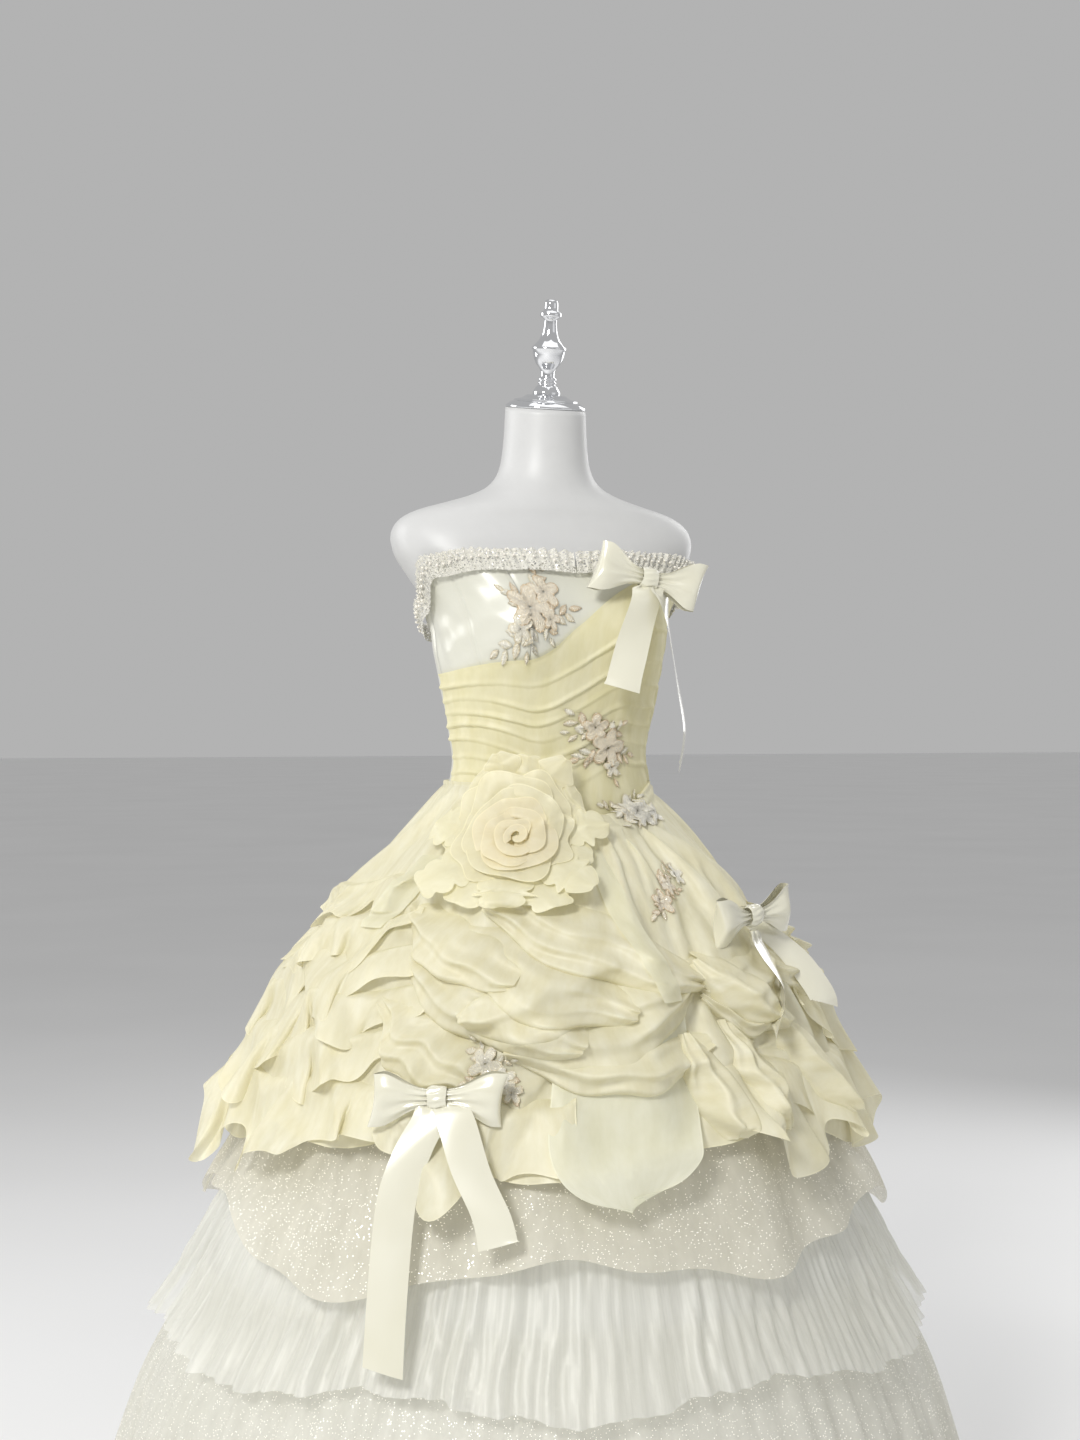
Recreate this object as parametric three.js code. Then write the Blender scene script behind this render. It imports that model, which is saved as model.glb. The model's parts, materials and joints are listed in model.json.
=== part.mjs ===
// A strapless ball gown on a limbless dress form that stands on a round base.
// Millimetres, +Z up. The gown's front faces -Y and its left side is at +X. The origin is on
// the floor, under the middle of the base. An angle phi turns from the front towards +X.
import * as THREE from "three";

const DEG = Math.PI / 180;

// Driving heights
const NECK_TOP_Z = 1512;
const FORM_FOOT_Z = 790;

// Cloth
const WALL = 1.5; // a gathered or boned cloth wall
const RIBBON = 1.0; // a satin ribbon
const SEAM = 0.3; // the gap between two pieces at a seam
const CLEAR = 3.6; // between the form and the cloth that rests on it
const PANEL_OUT = CLEAR + WALL; // the bodice's outer face, out from the form
const DRAPE_OUT = PANEL_OUT + 1.9 + WALL; // the pleated wrap's outer face, before its pleats
const HIP_OUT = PANEL_OUT + 1 + WALL; // the overskirt's outer face at the waist seam
const SKIRT_DEPTH = 0.96; // the skirt's depth as a share of its width
const SKIRT_TRAIL = 45; // how far the hem's middle lies behind the waist's

// Stand
const POLE_RADIUS = 16;
const BASE_RADIUS = 190;
const BASE_HEIGHT = 14;
const NECK_SLOPE = 10 * DEG; // the neck's cut face dips forwards
const NECK_LEAN_Y = 6; // the middle of that face, behind the axis

const cloth = (color, roughness) =>
  new THREE.MeshStandardMaterial({ color, roughness, metalness: 0, side: THREE.DoubleSide });
const MATERIAL = {
  formSkin: new THREE.MeshStandardMaterial({ color: 0xe9e9ec, roughness: 0.55, metalness: 0 }),
  chrome: new THREE.MeshStandardMaterial({ color: 0xd8dadd, roughness: 0.12, metalness: 1 }),
  stand: new THREE.MeshStandardMaterial({ color: 0xe4e4e6, roughness: 0.4, metalness: 0.2 }),
  satin: cloth(0xf3f2e2, 0.35),
  pleatedOrganza: cloth(0xefe9bf, 0.6),
  organza: cloth(0xf2eed2, 0.6),
  tulle: cloth(0xf1f0e6, 0.7),
  glitter: cloth(0xece6d8, 0.45),
  ribbon: cloth(0xf8f5e2, 0.25),
  lace: cloth(0xd9bfa3, 0.6),
};

const part = new THREE.Group();

function add(name, geometry, material) {
  const mesh = new THREE.Mesh(geometry, material);
  mesh.name = name;
  part.add(mesh);
  return mesh;
}

const mix = (a, b, t) => a + (b - a) * t;
const clamp01 = (t) => Math.min(1, Math.max(0, t));
const smooth = (t) => {
  const c = clamp01(t);
  return c * c * (3 - 2 * c);
};
// A soft hill, 1 at its middle and near 0 beyond twice its width.
const hill = (x, width) => Math.exp(-(x * x) / (width * width));
// An angle brought into -180 to 180 degrees.
const wrap = (phi) => ((((phi + 180) % 360) + 360) % 360) - 180;

// Reads one column of a table of sections at a height. Rows run from the top down, and the
// values between rows follow a smooth curve through them.
function along(table, column, z) {
  const last = table.length - 1;
  if (z >= table[0].z) return table[0][column];
  if (z <= table[last].z) return table[last][column];
  const i = table.findIndex((row, k) => k < last && z > table[k + 1].z);
  const rows = [i - 1, i, i + 1, i + 2].map((k) => table[Math.min(last, Math.max(0, k))]);
  const [p0, p1, p2, p3] = rows;
  const t = (z - p1.z) / (p2.z - p1.z);
  const slope1 = ((p2[column] - p0[column]) / (p2.z - p0.z)) * (p2.z - p1.z);
  const slope2 = ((p3[column] - p1[column]) / (p3.z - p1.z)) * (p2.z - p1.z);
  const t2 = t * t;
  const t3 = t2 * t;
  return (
    (2 * t3 - 3 * t2 + 1) * p1[column] + (t3 - 2 * t2 + t) * slope1 +
    (3 * t2 - 2 * t3) * p2[column] + (t3 - t2) * slope2
  );
}

// ---- Walls -------------------------------------------------------------------------------

// A closed wall under an outer face. faceAt(u, v) gives the outer face's points for u and v from
// 0 to 1, with u running right and v down as seen from outside. A ring joins u = 1 to u = 0.
function wall(faceAt, columns, rows, thickness, ring = false) {
  const across = ring ? columns : columns + 1;
  const step = 1e-3;
  const outer = [];
  const inner = [];
  for (let j = 0; j <= rows; j++)
    for (let i = 0; i < across; i++) {
      const u = i / columns;
      const v = j / rows;
      const point = faceAt(u, v);
      const [u0, u1] = ring ? [u - step, u + step] : [Math.max(0, u - step), Math.min(1, u + step)];
      const alongU = faceAt(u1, v).sub(faceAt(u0, v));
      const alongV = faceAt(u, Math.min(1, v + step)).sub(faceAt(u, Math.max(0, v - step)));
      const normal = alongV.cross(alongU).normalize();
      outer.push(point);
      inner.push(point.clone().addScaledVector(normal, -thickness));
    }
  const index = [];
  const count = outer.length;
  const at = (i, j, side) => side * count + j * across + (ring ? i % columns : i);
  const quad = (a, b, c, d) => index.push(a, b, c, a, c, d);
  for (let j = 0; j < rows; j++)
    for (let i = 0; i < columns; i++) {
      quad(at(i, j, 0), at(i, j + 1, 0), at(i + 1, j + 1, 0), at(i + 1, j, 0));
      quad(at(i, j, 1), at(i + 1, j, 1), at(i + 1, j + 1, 1), at(i, j + 1, 1));
    }
  for (let i = 0; i < columns; i++) {
    quad(at(i, 0, 1), at(i, 0, 0), at(i + 1, 0, 0), at(i + 1, 0, 1));
    quad(at(i, rows, 0), at(i, rows, 1), at(i + 1, rows, 1), at(i + 1, rows, 0));
  }
  if (!ring)
    for (let j = 0; j < rows; j++) {
      quad(at(0, j, 1), at(0, j + 1, 1), at(0, j + 1, 0), at(0, j, 0));
      quad(at(columns, j, 0), at(columns, j + 1, 0), at(columns, j + 1, 1), at(columns, j, 1));
    }
  return solidFrom([...outer, ...inner], index);
}

function solidFrom(points, index) {
  const places = new Float32Array(points.flatMap((p) => [p.x, p.y, p.z]));
  const attribute = new THREE.BufferAttribute(places, 3);
  return new THREE.BufferGeometry().setAttribute("position", attribute).setIndex(index);
}

// A closed solid of stacked rings, from the top down, with a flat fan at each end.
function loft(ringAt, segments, heights) {
  const angles = Array.from({ length: segments }, (_, i) => (360 * i) / segments);
  const points = heights.flatMap((z) => angles.map((phi) => ringAt(phi, z)));
  const index = [];
  const end = (heights.length - 1) * segments;
  const [topMiddle, footMiddle] = [middleOf(points.slice(0, segments)), middleOf(points.slice(end))];
  const [top, foot] = [points.push(topMiddle) - 1, points.push(footMiddle) - 1];
  for (let i = 0; i < segments; i++) {
    const next = (i + 1) % segments;
    for (let j = 0; j < heights.length - 1; j++) {
      const [a, b] = [j * segments, (j + 1) * segments];
      index.push(a + i, b + i, b + next, a + i, b + next, a + next);
    }
    index.push(top, i, next, foot, end + next, end + i);
  }
  return solidFrom(points, index);
}

function middleOf(points) {
  return points.reduce((sum, p) => sum.add(p), new THREE.Vector3()).divideScalar(points.length);
}

// ---- The dress form ----------------------------------------------------------------------

// Sections of the form: half its width, its depth ahead of and behind the axis, how square its
// outline is (2 is an ellipse), and how far its middle leans.
const FORM = [
  { z: 1512, half: 51, front: 51, back: 51, square: 2, lean: 6 },
  { z: 1460, half: 54, front: 53, back: 54, square: 2, lean: 8 },
  { z: 1430, half: 60, front: 57, back: 58, square: 2, lean: 10 },
  { z: 1412, half: 74, front: 62, back: 63, square: 2, lean: 12 },
  { z: 1400, half: 98, front: 66, back: 67, square: 2.05, lean: 13 },
  { z: 1390, half: 130, front: 71, back: 71, square: 2.1, lean: 14 },
  { z: 1380, half: 165, front: 76, back: 74, square: 2.2, lean: 15 },
  { z: 1368, half: 187, front: 81, back: 78, square: 2.35, lean: 17 },
  { z: 1350, half: 197, front: 88, back: 84, square: 2.5, lean: 17 },
  { z: 1325, half: 193, front: 98, back: 90, square: 2.5, lean: 15 },
  { z: 1300, half: 178, front: 106, back: 95, square: 2.4, lean: 12 },
  { z: 1270, half: 158, front: 111, back: 98, square: 2.3, lean: 8 },
  { z: 1240, half: 146, front: 112, back: 98, square: 2.25, lean: 5 },
  { z: 1200, half: 140, front: 108, back: 95, square: 2.2, lean: 2 },
  { z: 1150, half: 130, front: 100, back: 90, square: 2.2, lean: 0 },
  { z: 1100, half: 121, front: 92, back: 86, square: 2.2, lean: 0 },
  { z: 1060, half: 117, front: 90, back: 86, square: 2.2, lean: 0 },
  { z: 1010, half: 128, front: 95, back: 95, square: 2.2, lean: 0 },
  { z: 950, half: 150, front: 102, back: 110, square: 2.3, lean: 0 },
  { z: 890, half: 163, front: 106, back: 121, square: 2.35, lean: 0 },
  { z: 830, half: 160, front: 105, back: 118, square: 2.35, lean: 0 },
  { z: 790, half: 146, front: 97, back: 106, square: 2.3, lean: 0 },
];
const BUST = { z: 1226, apart: 76, wide: 50, tall: 48, out: 26 };

// A point on the form's skin.
function skinPoint(phi, z) {
  const [s, c] = [Math.sin(phi * DEG), Math.cos(phi * DEG)];
  const power = 2 / along(FORM, "square", z);
  const reach = along(FORM, c > 0 ? "front" : "back", z);
  const x = along(FORM, "half", z) * Math.sign(s) * Math.abs(s) ** power;
  const y = -reach * Math.sign(c) * Math.abs(c) ** power + along(FORM, "lean", z);
  const cups = hill(x - BUST.apart, BUST.wide) + hill(x + BUST.apart, BUST.wide);
  const bust = c > 0 ? BUST.out * cups * hill(z - BUST.z, BUST.tall) * smooth(3 * c) : 0;
  return new THREE.Vector3(x, y - bust, z);
}

// A point above the skin, along the skin's own normal.
function formPoint(phi, z, out) {
  const around = skinPoint(phi + 1, z).sub(skinPoint(phi - 1, z));
  const upwards = skinPoint(phi, z + 3).sub(skinPoint(phi, z - 3));
  return skinPoint(phi, z).addScaledVector(around.cross(upwards).normalize(), out);
}

function makeForm() {
  const heights = [
    NECK_TOP_Z, 1486, 1460, 1442, 1430, 1420, 1412, 1405, 1399, 1393, 1387, 1381, 1374, 1366, 1357, 1346,
    1333, 1318, 1300, 1282, 1266, 1252, 1239, 1226, 1213, 1200, 1185, 1168, 1148, 1120, 1090, 1060, 1030, 990,
    940, 890, 840, FORM_FOOT_Z,
  ];
  // The neck's rings tilt until the top one lies along the sloping cut.
  const ringAt = (phi, z) => {
    const point = skinPoint(phi, z);
    const share = smooth((z - 1430) / (NECK_TOP_Z - 1430));
    point.z += (point.y - along(FORM, "lean", z)) * Math.tan(NECK_SLOPE) * share;
    return point;
  };
  add("form_torso", loft(ringAt, 48, heights), MATERIAL.formSkin);
}

// Turned pieces. Each row of a profile is a radius and a height over the piece's foot.
const CAP_PROFILE = [
  { r: 0, h: 0 }, { r: 50.5, h: 0 }, { r: 51, h: 3 }, { r: 45, h: 8 }, { r: 41, h: 9 }, { r: 40.5, h: 11 },
  { r: 30, h: 13 }, { r: 25, h: 17 }, { r: 0, h: 17 },
];
const FINIAL_PROFILE = [
  { r: 0, h: 0 }, { r: 17.5, h: 0 }, { r: 17.5, h: 4 }, { r: 14, h: 10 }, { r: 9.5, h: 13 }, { r: 12, h: 15 },
  { r: 9.5, h: 17 }, { r: 12, h: 19.5 }, { r: 9, h: 22 }, { r: 9, h: 30 }, { r: 15, h: 38 }, { r: 20, h: 50 },
  { r: 20.5, h: 56 }, { r: 22, h: 58 }, { r: 20.5, h: 60.5 }, { r: 13.5, h: 68 }, { r: 9, h: 80 },
  { r: 8, h: 92 }, { r: 9, h: 95 }, { r: 13.5, h: 98 }, { r: 13.5, h: 102 }, { r: 9, h: 105 },
  { r: 8.5, h: 116 }, { r: 6, h: 119 }, { r: 0, h: 119 },
];
const BASE_PROFILE = [
  { r: 0, h: 0 }, { r: BASE_RADIUS, h: 0 }, { r: BASE_RADIUS, h: 8 }, { r: 182, h: BASE_HEIGHT },
  { r: 0, h: BASE_HEIGHT },
];
const POLE_LENGTH = FORM_FOOT_Z - BASE_HEIGHT - 2 * SEAM;
const POLE_PROFILE = [
  { r: 0, h: 0 }, { r: 34, h: 0 }, { r: 34, h: 26 }, { r: POLE_RADIUS, h: 34 },
  { r: POLE_RADIUS, h: POLE_LENGTH }, { r: 0, h: POLE_LENGTH },
];

function turned(profile, segments) {
  const outline = profile.map((row) => new THREE.Vector2(row.r, row.h));
  return new THREE.LatheGeometry(outline, segments).rotateX(Math.PI / 2);
}

function makeStand() {
  add("form_base", turned(BASE_PROFILE, 32), MATERIAL.stand);
  add("form_pole", turned(POLE_PROFILE, 16), MATERIAL.stand).position.z = BASE_HEIGHT + SEAM;
  const headAxis = new THREE.Vector3(0, -Math.sin(NECK_SLOPE), Math.cos(NECK_SLOPE));
  const seat = new THREE.Vector3(0, NECK_LEAN_Y, NECK_TOP_Z).addScaledVector(headAxis, SEAM);
  const capHeight = CAP_PROFILE[CAP_PROFILE.length - 1].h;
  const cap = add("neck_cap", turned(CAP_PROFILE, 32), MATERIAL.chrome);
  const finial = add("finial", turned(FINIAL_PROFILE, 20), MATERIAL.chrome);
  cap.position.copy(seat);
  finial.position.copy(seat).addScaledVector(headAxis, capHeight + SEAM);
  for (const piece of [cap, finial]) piece.rotation.x = NECK_SLOPE;
}

// ---- The bodice --------------------------------------------------------------------------

// The top edge, level across the bust and dropping under the arms, and the pointed lower edge.
function necklineZ(phi) {
  const turn = Math.abs(wrap(phi));
  const front = 1306 - 4 * hill(turn, 14) - 42 * smooth((turn - 58) / 26);
  return front - 32 * smooth((turn - 82) / 30) - 14 * smooth((turn - 110) / 60);
}
const POINT_PHI = 12;
const bodiceFootZ = (phi) => 1034 - 46 * hill(wrap(phi - POINT_PHI), 34);

// The cut panels: from one angle to the next, seam to seam.
const PANELS = [
  { name: "bodice_centre_front", from: -24, to: 24, columns: 5, rows: 12 },
  { name: "bodice_side_front_left", from: 24, to: 90, columns: 7, rows: 12 },
  { name: "bodice_back_left", from: 90, to: 178, columns: 6, rows: 5 },
  { name: "bodice_placket", from: 178, to: 182, columns: 1, rows: 5 },
  { name: "bodice_back_right", from: 182, to: 270, columns: 6, rows: 5 },
  { name: "bodice_side_front_right", from: 270, to: 336, columns: 7, rows: 12 },
];
const PANEL_SEAM_DEG = 0.12;

function makeBodice() {
  for (const panel of PANELS) {
    const [from, to] = [panel.from + PANEL_SEAM_DEG, panel.to - PANEL_SEAM_DEG];
    const faceAt = (u, v) => {
      const phi = mix(from, to, u);
      return formPoint(phi, mix(necklineZ(phi), bodiceFootZ(phi), v), PANEL_OUT);
    };
    add(panel.name, wall(faceAt, panel.columns, panel.rows, WALL), MATERIAL.satin);
  }
}

// The pleated wrap: it rises from the right side seam to the left bust, in overlapping pleats.
const DRAPE = { from: -89, to: 89, foot: 6, pleats: 6, step: 2.2 };
// Its upper edge, low at the right side and high over the left bust.
const drapeTopZ = (phi) => {
  const rising = 1176 + 18 * smooth((phi + 90) / 70) + 98 * smooth((phi + 26) / 62);
  return Math.min(rising, necklineZ(phi) - 8);
};

function drapePoint(phi, share) {
  const [top, foot] = [drapeTopZ(phi), bodiceFootZ(phi) + DRAPE.foot];
  const pleat = (share * DRAPE.pleats) % 1;
  const lift = share >= 1 ? 0 : DRAPE.step * pleat;
  return formPoint(phi, mix(top, foot, share), DRAPE_OUT + lift);
}

function makeDrape() {
  const faceAt = (u, v) => drapePoint(mix(DRAPE.from, DRAPE.to, u), v);
  add("bodice_drape", wall(faceAt, 18, 2 * DRAPE.pleats, WALL), MATERIAL.pleatedOrganza);
}

// The gathered lace frill that stands along the top edge, open at the placket.
const FRILL = { above: 14, below: 12, waves: 12, ripple: 2, out: 3 };
const FRILLS = [
  { name: "neckline_frill_right", from: 182, to: 359.9 },
  { name: "neckline_frill_left", from: 0.1, to: 178 },
];

function makeFrills() {
  for (const frill of FRILLS) {
    const faceAt = (u, v) => {
      const phi = mix(frill.from, frill.to, u);
      const z = necklineZ(phi) + mix(FRILL.above, -FRILL.below, v);
      const wave = FRILL.ripple * (1 + Math.sin(2 * Math.PI * FRILL.waves * u));
      return formPoint(phi, z, DRAPE_OUT + DRAPE.step + FRILL.out + wave * mix(1, 0.4, v));
    };
    add(frill.name, wall(faceAt, 2 * FRILL.waves, 1, WALL), MATERIAL.lace);
  }
}

// ---- The skirt's layers ------------------------------------------------------------------

// Each layer's half width, and the depth of its gathers, at each height.
const UNDERSKIRT = [
  { z: 1030, r: 132 }, { z: 1000, r: 148 }, { z: 950, r: 172 }, { z: 900, r: 200 }, { z: 800, r: 255 },
  { z: 700, r: 305 }, { z: 600, r: 350 }, { z: 500, r: 392 }, { z: 440, r: 415 }, { z: 370, r: 442 },
  { z: 240, r: 492 }, { z: 120, r: 538 }, { z: 10, r: 574 },
];
const BOTTOM_TIER = [
  { z: 455, r: 424, gather: 2 }, { z: 400, r: 450, gather: 5 }, { z: 370, r: 466, gather: 6 },
  { z: 312, r: 496, gather: 7 }, { z: 240, r: 522, gather: 8 }, { z: 120, r: 558, gather: 9 },
  { z: 12, r: 588, gather: 10 },
];
const TULLE_TIER = [
  { z: 605, r: 364, gather: 2 }, { z: 560, r: 388, gather: 4 }, { z: 500, r: 422, gather: 5 },
  { z: 440, r: 454, gather: 7 }, { z: 370, r: 492, gather: 9 }, { z: 350, r: 502, gather: 9 },
];
const GLITTER_TIER = [
  { z: 780, r: 298, gather: 2 }, { z: 700, r: 338, gather: 4 }, { z: 650, r: 364, gather: 5 },
  { z: 600, r: 392, gather: 6 }, { z: 560, r: 416, gather: 7 }, { z: 480, r: 456, gather: 9 },
];
const OVERSKIRT = [
  { z: 1045, r: 130 }, { z: 1016, r: 160 }, { z: 953, r: 208 }, { z: 891, r: 252 }, { z: 830, r: 296 },
  { z: 768, r: 330 }, { z: 707, r: 360 }, { z: 650, r: 386 }, { z: 590, r: 412 },
];

// A point on a layer: at the waist it hugs the form, and lower down it is a round bell.
function skirtPoint(phi, z, radius, hug) {
  const trail = SKIRT_TRAIL * smooth((820 - z) / 820);
  const [x, y] = [radius * Math.sin(phi * DEG), trail - radius * SKIRT_DEPTH * Math.cos(phi * DEG)];
  const bell = new THREE.Vector3(x, y, z);
  return z < 900 ? bell : formPoint(phi, z, hug).lerp(bell, smooth((1060 - z) / 150));
}

const GORE_SEAM_DEG = 0.1;

// Makes one layer in gores, cut apart at seams.
function makeLayer(layer) {
  const span = 360 / layer.gores.length;
  layer.gores.forEach((gore, k) => {
    const middle = layer.start + span * k;
    const [from, to] = [middle - span / 2 + GORE_SEAM_DEG, middle + span / 2 - GORE_SEAM_DEG];
    const faceAt = (u, v) => {
      const phi = mix(from, to, u);
      const [top, foot] = [layer.topZ(phi), layer.footZ(phi)];
      return layer.pointAt(phi, mix(top, foot, v));
    };
    add(layer.name + "_" + gore, wall(faceAt, layer.columns, layer.rows, WALL), layer.material);
  });
}

// A gathered layer's point: the gathers are regular round the hem and fade towards the seam.
const gathered = (table, waves) => (phi, z) =>
  skirtPoint(phi, z, along(table, "r", z) + along(table, "gather", z) * Math.sin(waves * phi * DEG), 0);

const glitterFootZ = (phi) => 520 + 26 * Math.cos(5 * (phi + 18) * DEG) + 16 * Math.sin(3 * phi * DEG);
const tulleFootZ = (phi) => 386 + 12 * Math.sin(7 * phi * DEG);
const overskirtTopZ = (phi) => bodiceFootZ(phi) - 2;
const overskirtFootZ = (phi) => 632 + 14 * Math.sin(5 * phi * DEG) + 8 * Math.cos(9 * phi * DEG);

// Where the overskirt is caught up: each tack pulls in a dimple, and the cloth puffs between.
const TACKS = [
  { phi: -140, z: 880 }, { phi: -96, z: 905 }, { phi: -64, z: 842 }, { phi: -38, z: 800 }, { phi: 8, z: 808 },
  { phi: 34, z: 850 }, { phi: 58, z: 842 }, { phi: 98, z: 880 }, { phi: 140, z: 860 }, { phi: 180, z: 890 },
  { phi: -118, z: 750 }, { phi: -80, z: 716 }, { phi: 24, z: 716 }, { phi: 48, z: 742 }, { phi: 78, z: 728 },
  { phi: 118, z: 745 }, { phi: 160, z: 735 }, { phi: -158, z: 742 },
];
const TACK = { deep: 17, wide: 42, puff: 9 };
const FOLD = { wide: 4, narrow: 3 };
// How free of the waist seam the overskirt hangs, from 0 at the seam.
const freedom = (phi, z) => smooth((overskirtTopZ(phi) - z) / 60);

function overskirtPoint(phi, z) {
  const radius = along(OVERSKIRT, "r", z);
  const dimple = TACKS.reduce((most, tack) => {
    const away = Math.hypot(wrap(phi - tack.phi) * DEG * radius, (z - tack.z) * 1.2);
    return Math.max(most, hill(away, TACK.wide));
  }, 0);
  const wide = FOLD.wide * Math.sin(11 * phi * DEG + z / 60);
  const narrow = FOLD.narrow * Math.sin(17 * phi * DEG - z / 45);
  const puff = TACK.puff + wide + narrow - TACK.deep * dimple;
  return skirtPoint(phi, z, radius + freedom(phi, z) * puff, HIP_OUT);
}

// The smooth face that just covers the overskirt's folds, the wrap's pleats and the bodice, or
// a face out from it. Everything that is sewn on lies on it.
function coverPoint(phi, z, out) {
  const folds = freedom(phi, z) * (TACK.puff + FOLD.wide + FOLD.narrow);
  return skirtPoint(phi, z, along(OVERSKIRT, "r", z) + folds + 3 + out, DRAPE_OUT + DRAPE.step + 1 + out);
}

const LAYERS = [
  {
    name: "underskirt", gores: ["front", "left", "back", "right"], start: 0, columns: 6, rows: 6,
    topZ: (phi) => bodiceFootZ(phi) - 6, footZ: () => 10, material: MATERIAL.satin,
    pointAt: (phi, z) => skirtPoint(phi, z, along(UNDERSKIRT, "r", z), PANEL_OUT),
  },
  {
    name: "bottom_tier", gores: ["front", "back"], start: 0, columns: 28, rows: 2,
    topZ: () => 455, footZ: () => 12, material: MATERIAL.glitter, pointAt: gathered(BOTTOM_TIER, 14),
  },
  {
    name: "tulle_tier", gores: ["front", "back"], start: 0, columns: 28, rows: 2,
    topZ: () => 605, footZ: tulleFootZ, material: MATERIAL.tulle, pointAt: gathered(TULLE_TIER, 14),
  },
  {
    name: "glitter_tier", gores: ["front", "back"], start: 0, columns: 20, rows: 2,
    topZ: () => 780, footZ: glitterFootZ, material: MATERIAL.glitter, pointAt: gathered(GLITTER_TIER, 8),
  },
  {
    name: "overskirt", gores: ["front", "left", "back", "right"], start: 0, columns: 11, rows: 8,
    topZ: overskirtTopZ, footZ: overskirtFootZ, material: MATERIAL.organza, pointAt: overskirtPoint,
  },
];

// Flounces sewn on the overskirt: each hangs from a line between two angles and flares outwards.
const FLOUNCES = [
  { name: "flounce_right_upper", from: -128, to: -72, z: 896, drop: 72, flare: 22, waves: 2.5, tilt: 30 },
  { name: "flounce_right_middle", from: -132, to: -54, z: 800, drop: 78, flare: 24, waves: 3.5, tilt: 20 },
  { name: "flounce_right_lower", from: -126, to: -46, z: 694, drop: 82, flare: 32, waves: 3.5, tilt: 8 },
  { name: "flounce_front", from: -20, to: 15, z: 792, drop: 196, flare: 16, waves: 1, tilt: 0 },
  { name: "flounce_left_lower", from: 50, to: 120, z: 712, drop: 98, flare: 32, waves: 3.5, tilt: -6 },
  { name: "flounce_back", from: 132, to: 222, z: 712, drop: 92, flare: 30, waves: 4.5, tilt: 0 },
];

function flouncePoint(flounce, u, v) {
  const phi = mix(flounce.from, flounce.to, u);
  const ends = Math.sin(Math.PI * clamp01(u)) ** 0.5;
  const z = flounce.z + flounce.tilt * (u - 0.5) - flounce.drop * v * mix(0.3, 1, ends);
  const wave = 0.5 + 0.5 * Math.sin(2 * Math.PI * flounce.waves * u);
  return coverPoint(phi, z, WALL + flounce.flare * v * v * mix(0.35, 1, wave));
}

function makeFlounces() {
  for (const flounce of FLOUNCES)
    add(flounce.name, wall((u, v) => flouncePoint(flounce, u, v), 10, 2, WALL), MATERIAL.organza);
}

// ---- Trimmings ---------------------------------------------------------------------------

// A frame standing on the gown. Its out side looks towards an angle, raised or dipped by a tilt.
function frameOn(place) {
  const side = new THREE.Vector3(Math.cos(place.facing * DEG), Math.sin(place.facing * DEG), 0);
  const level = new THREE.Vector3(Math.sin(place.facing * DEG), -Math.cos(place.facing * DEG), 0);
  const out = level.applyAxisAngle(side, place.tilt * DEG);
  const up = out.clone().cross(side);
  for (const axis of [side, up]) axis.applyAxisAngle(out, place.turn * DEG);
  return { at: coverPoint(place.phi, place.z, 0).addScaledVector(out, place.lift), side, up, out };
}
const inFrame = (frame, x, y, z) =>
  frame.at.clone().addScaledVector(frame.side, x).addScaledVector(frame.up, y).addScaledVector(frame.out, z);

// Where the bows sit, how far out from the cloth, and which way they face.
const BOWS = [
  { name: "bow_bust", phi: 25, z: 1285, lift: 27, facing: 2, tilt: 0, turn: -5, width: 144 },
  { name: "bow_hip", phi: 35.5, z: 895, lift: 39, facing: 27, tilt: 14, turn: 6, width: 132 },
  { name: "bow_skirt", phi: -36.5, z: 709, lift: 26, facing: -24, tilt: 8, turn: 1, width: 148 },
];
const LOOP = { tall: 62, waist: 20, thick: 20, start: 11 };
const KNOT = { wide: 20, tall: 22, deep: 15 };

function makeBow(bow) {
  const frame = frameOn(bow);
  for (const [hand, sign] of [["right", -1], ["left", 1]]) {
    // The ribbon runs out along the front, turns at the end of the loop and comes back behind.
    const faceAt = (u, v) => {
      const turnAngle = Math.PI * u;
      const outward = Math.sin(turnAngle);
      const reach = mix(LOOP.start, bow.width / 2, outward ** 0.9);
      const half = mix(LOOP.waist, LOOP.tall, smooth(outward)) / 2;
      const depth = LOOP.thick * 0.5 * Math.cos(turnAngle) * mix(0.35, 1, outward);
      return inFrame(frame, sign * reach, mix(half, -half, v), sign * -depth);
    };
    add(bow.name + "_loop_" + hand, wall(faceAt, 8, 1, RIBBON), MATERIAL.ribbon);
  }
  const knotAt = (u, v) => {
    const around = 2 * Math.PI * u;
    const half = (KNOT.tall / 2) * mix(1, 0.88, Math.sin(Math.PI * v));
    const depth = KNOT.deep / 2;
    return inFrame(frame, KNOT.wide * (v - 0.5), half * Math.cos(around), depth * Math.sin(around));
  };
  add(bow.name + "_knot", wall(knotAt, 8, 2, RIBBON, true), MATERIAL.ribbon);
}

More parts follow.
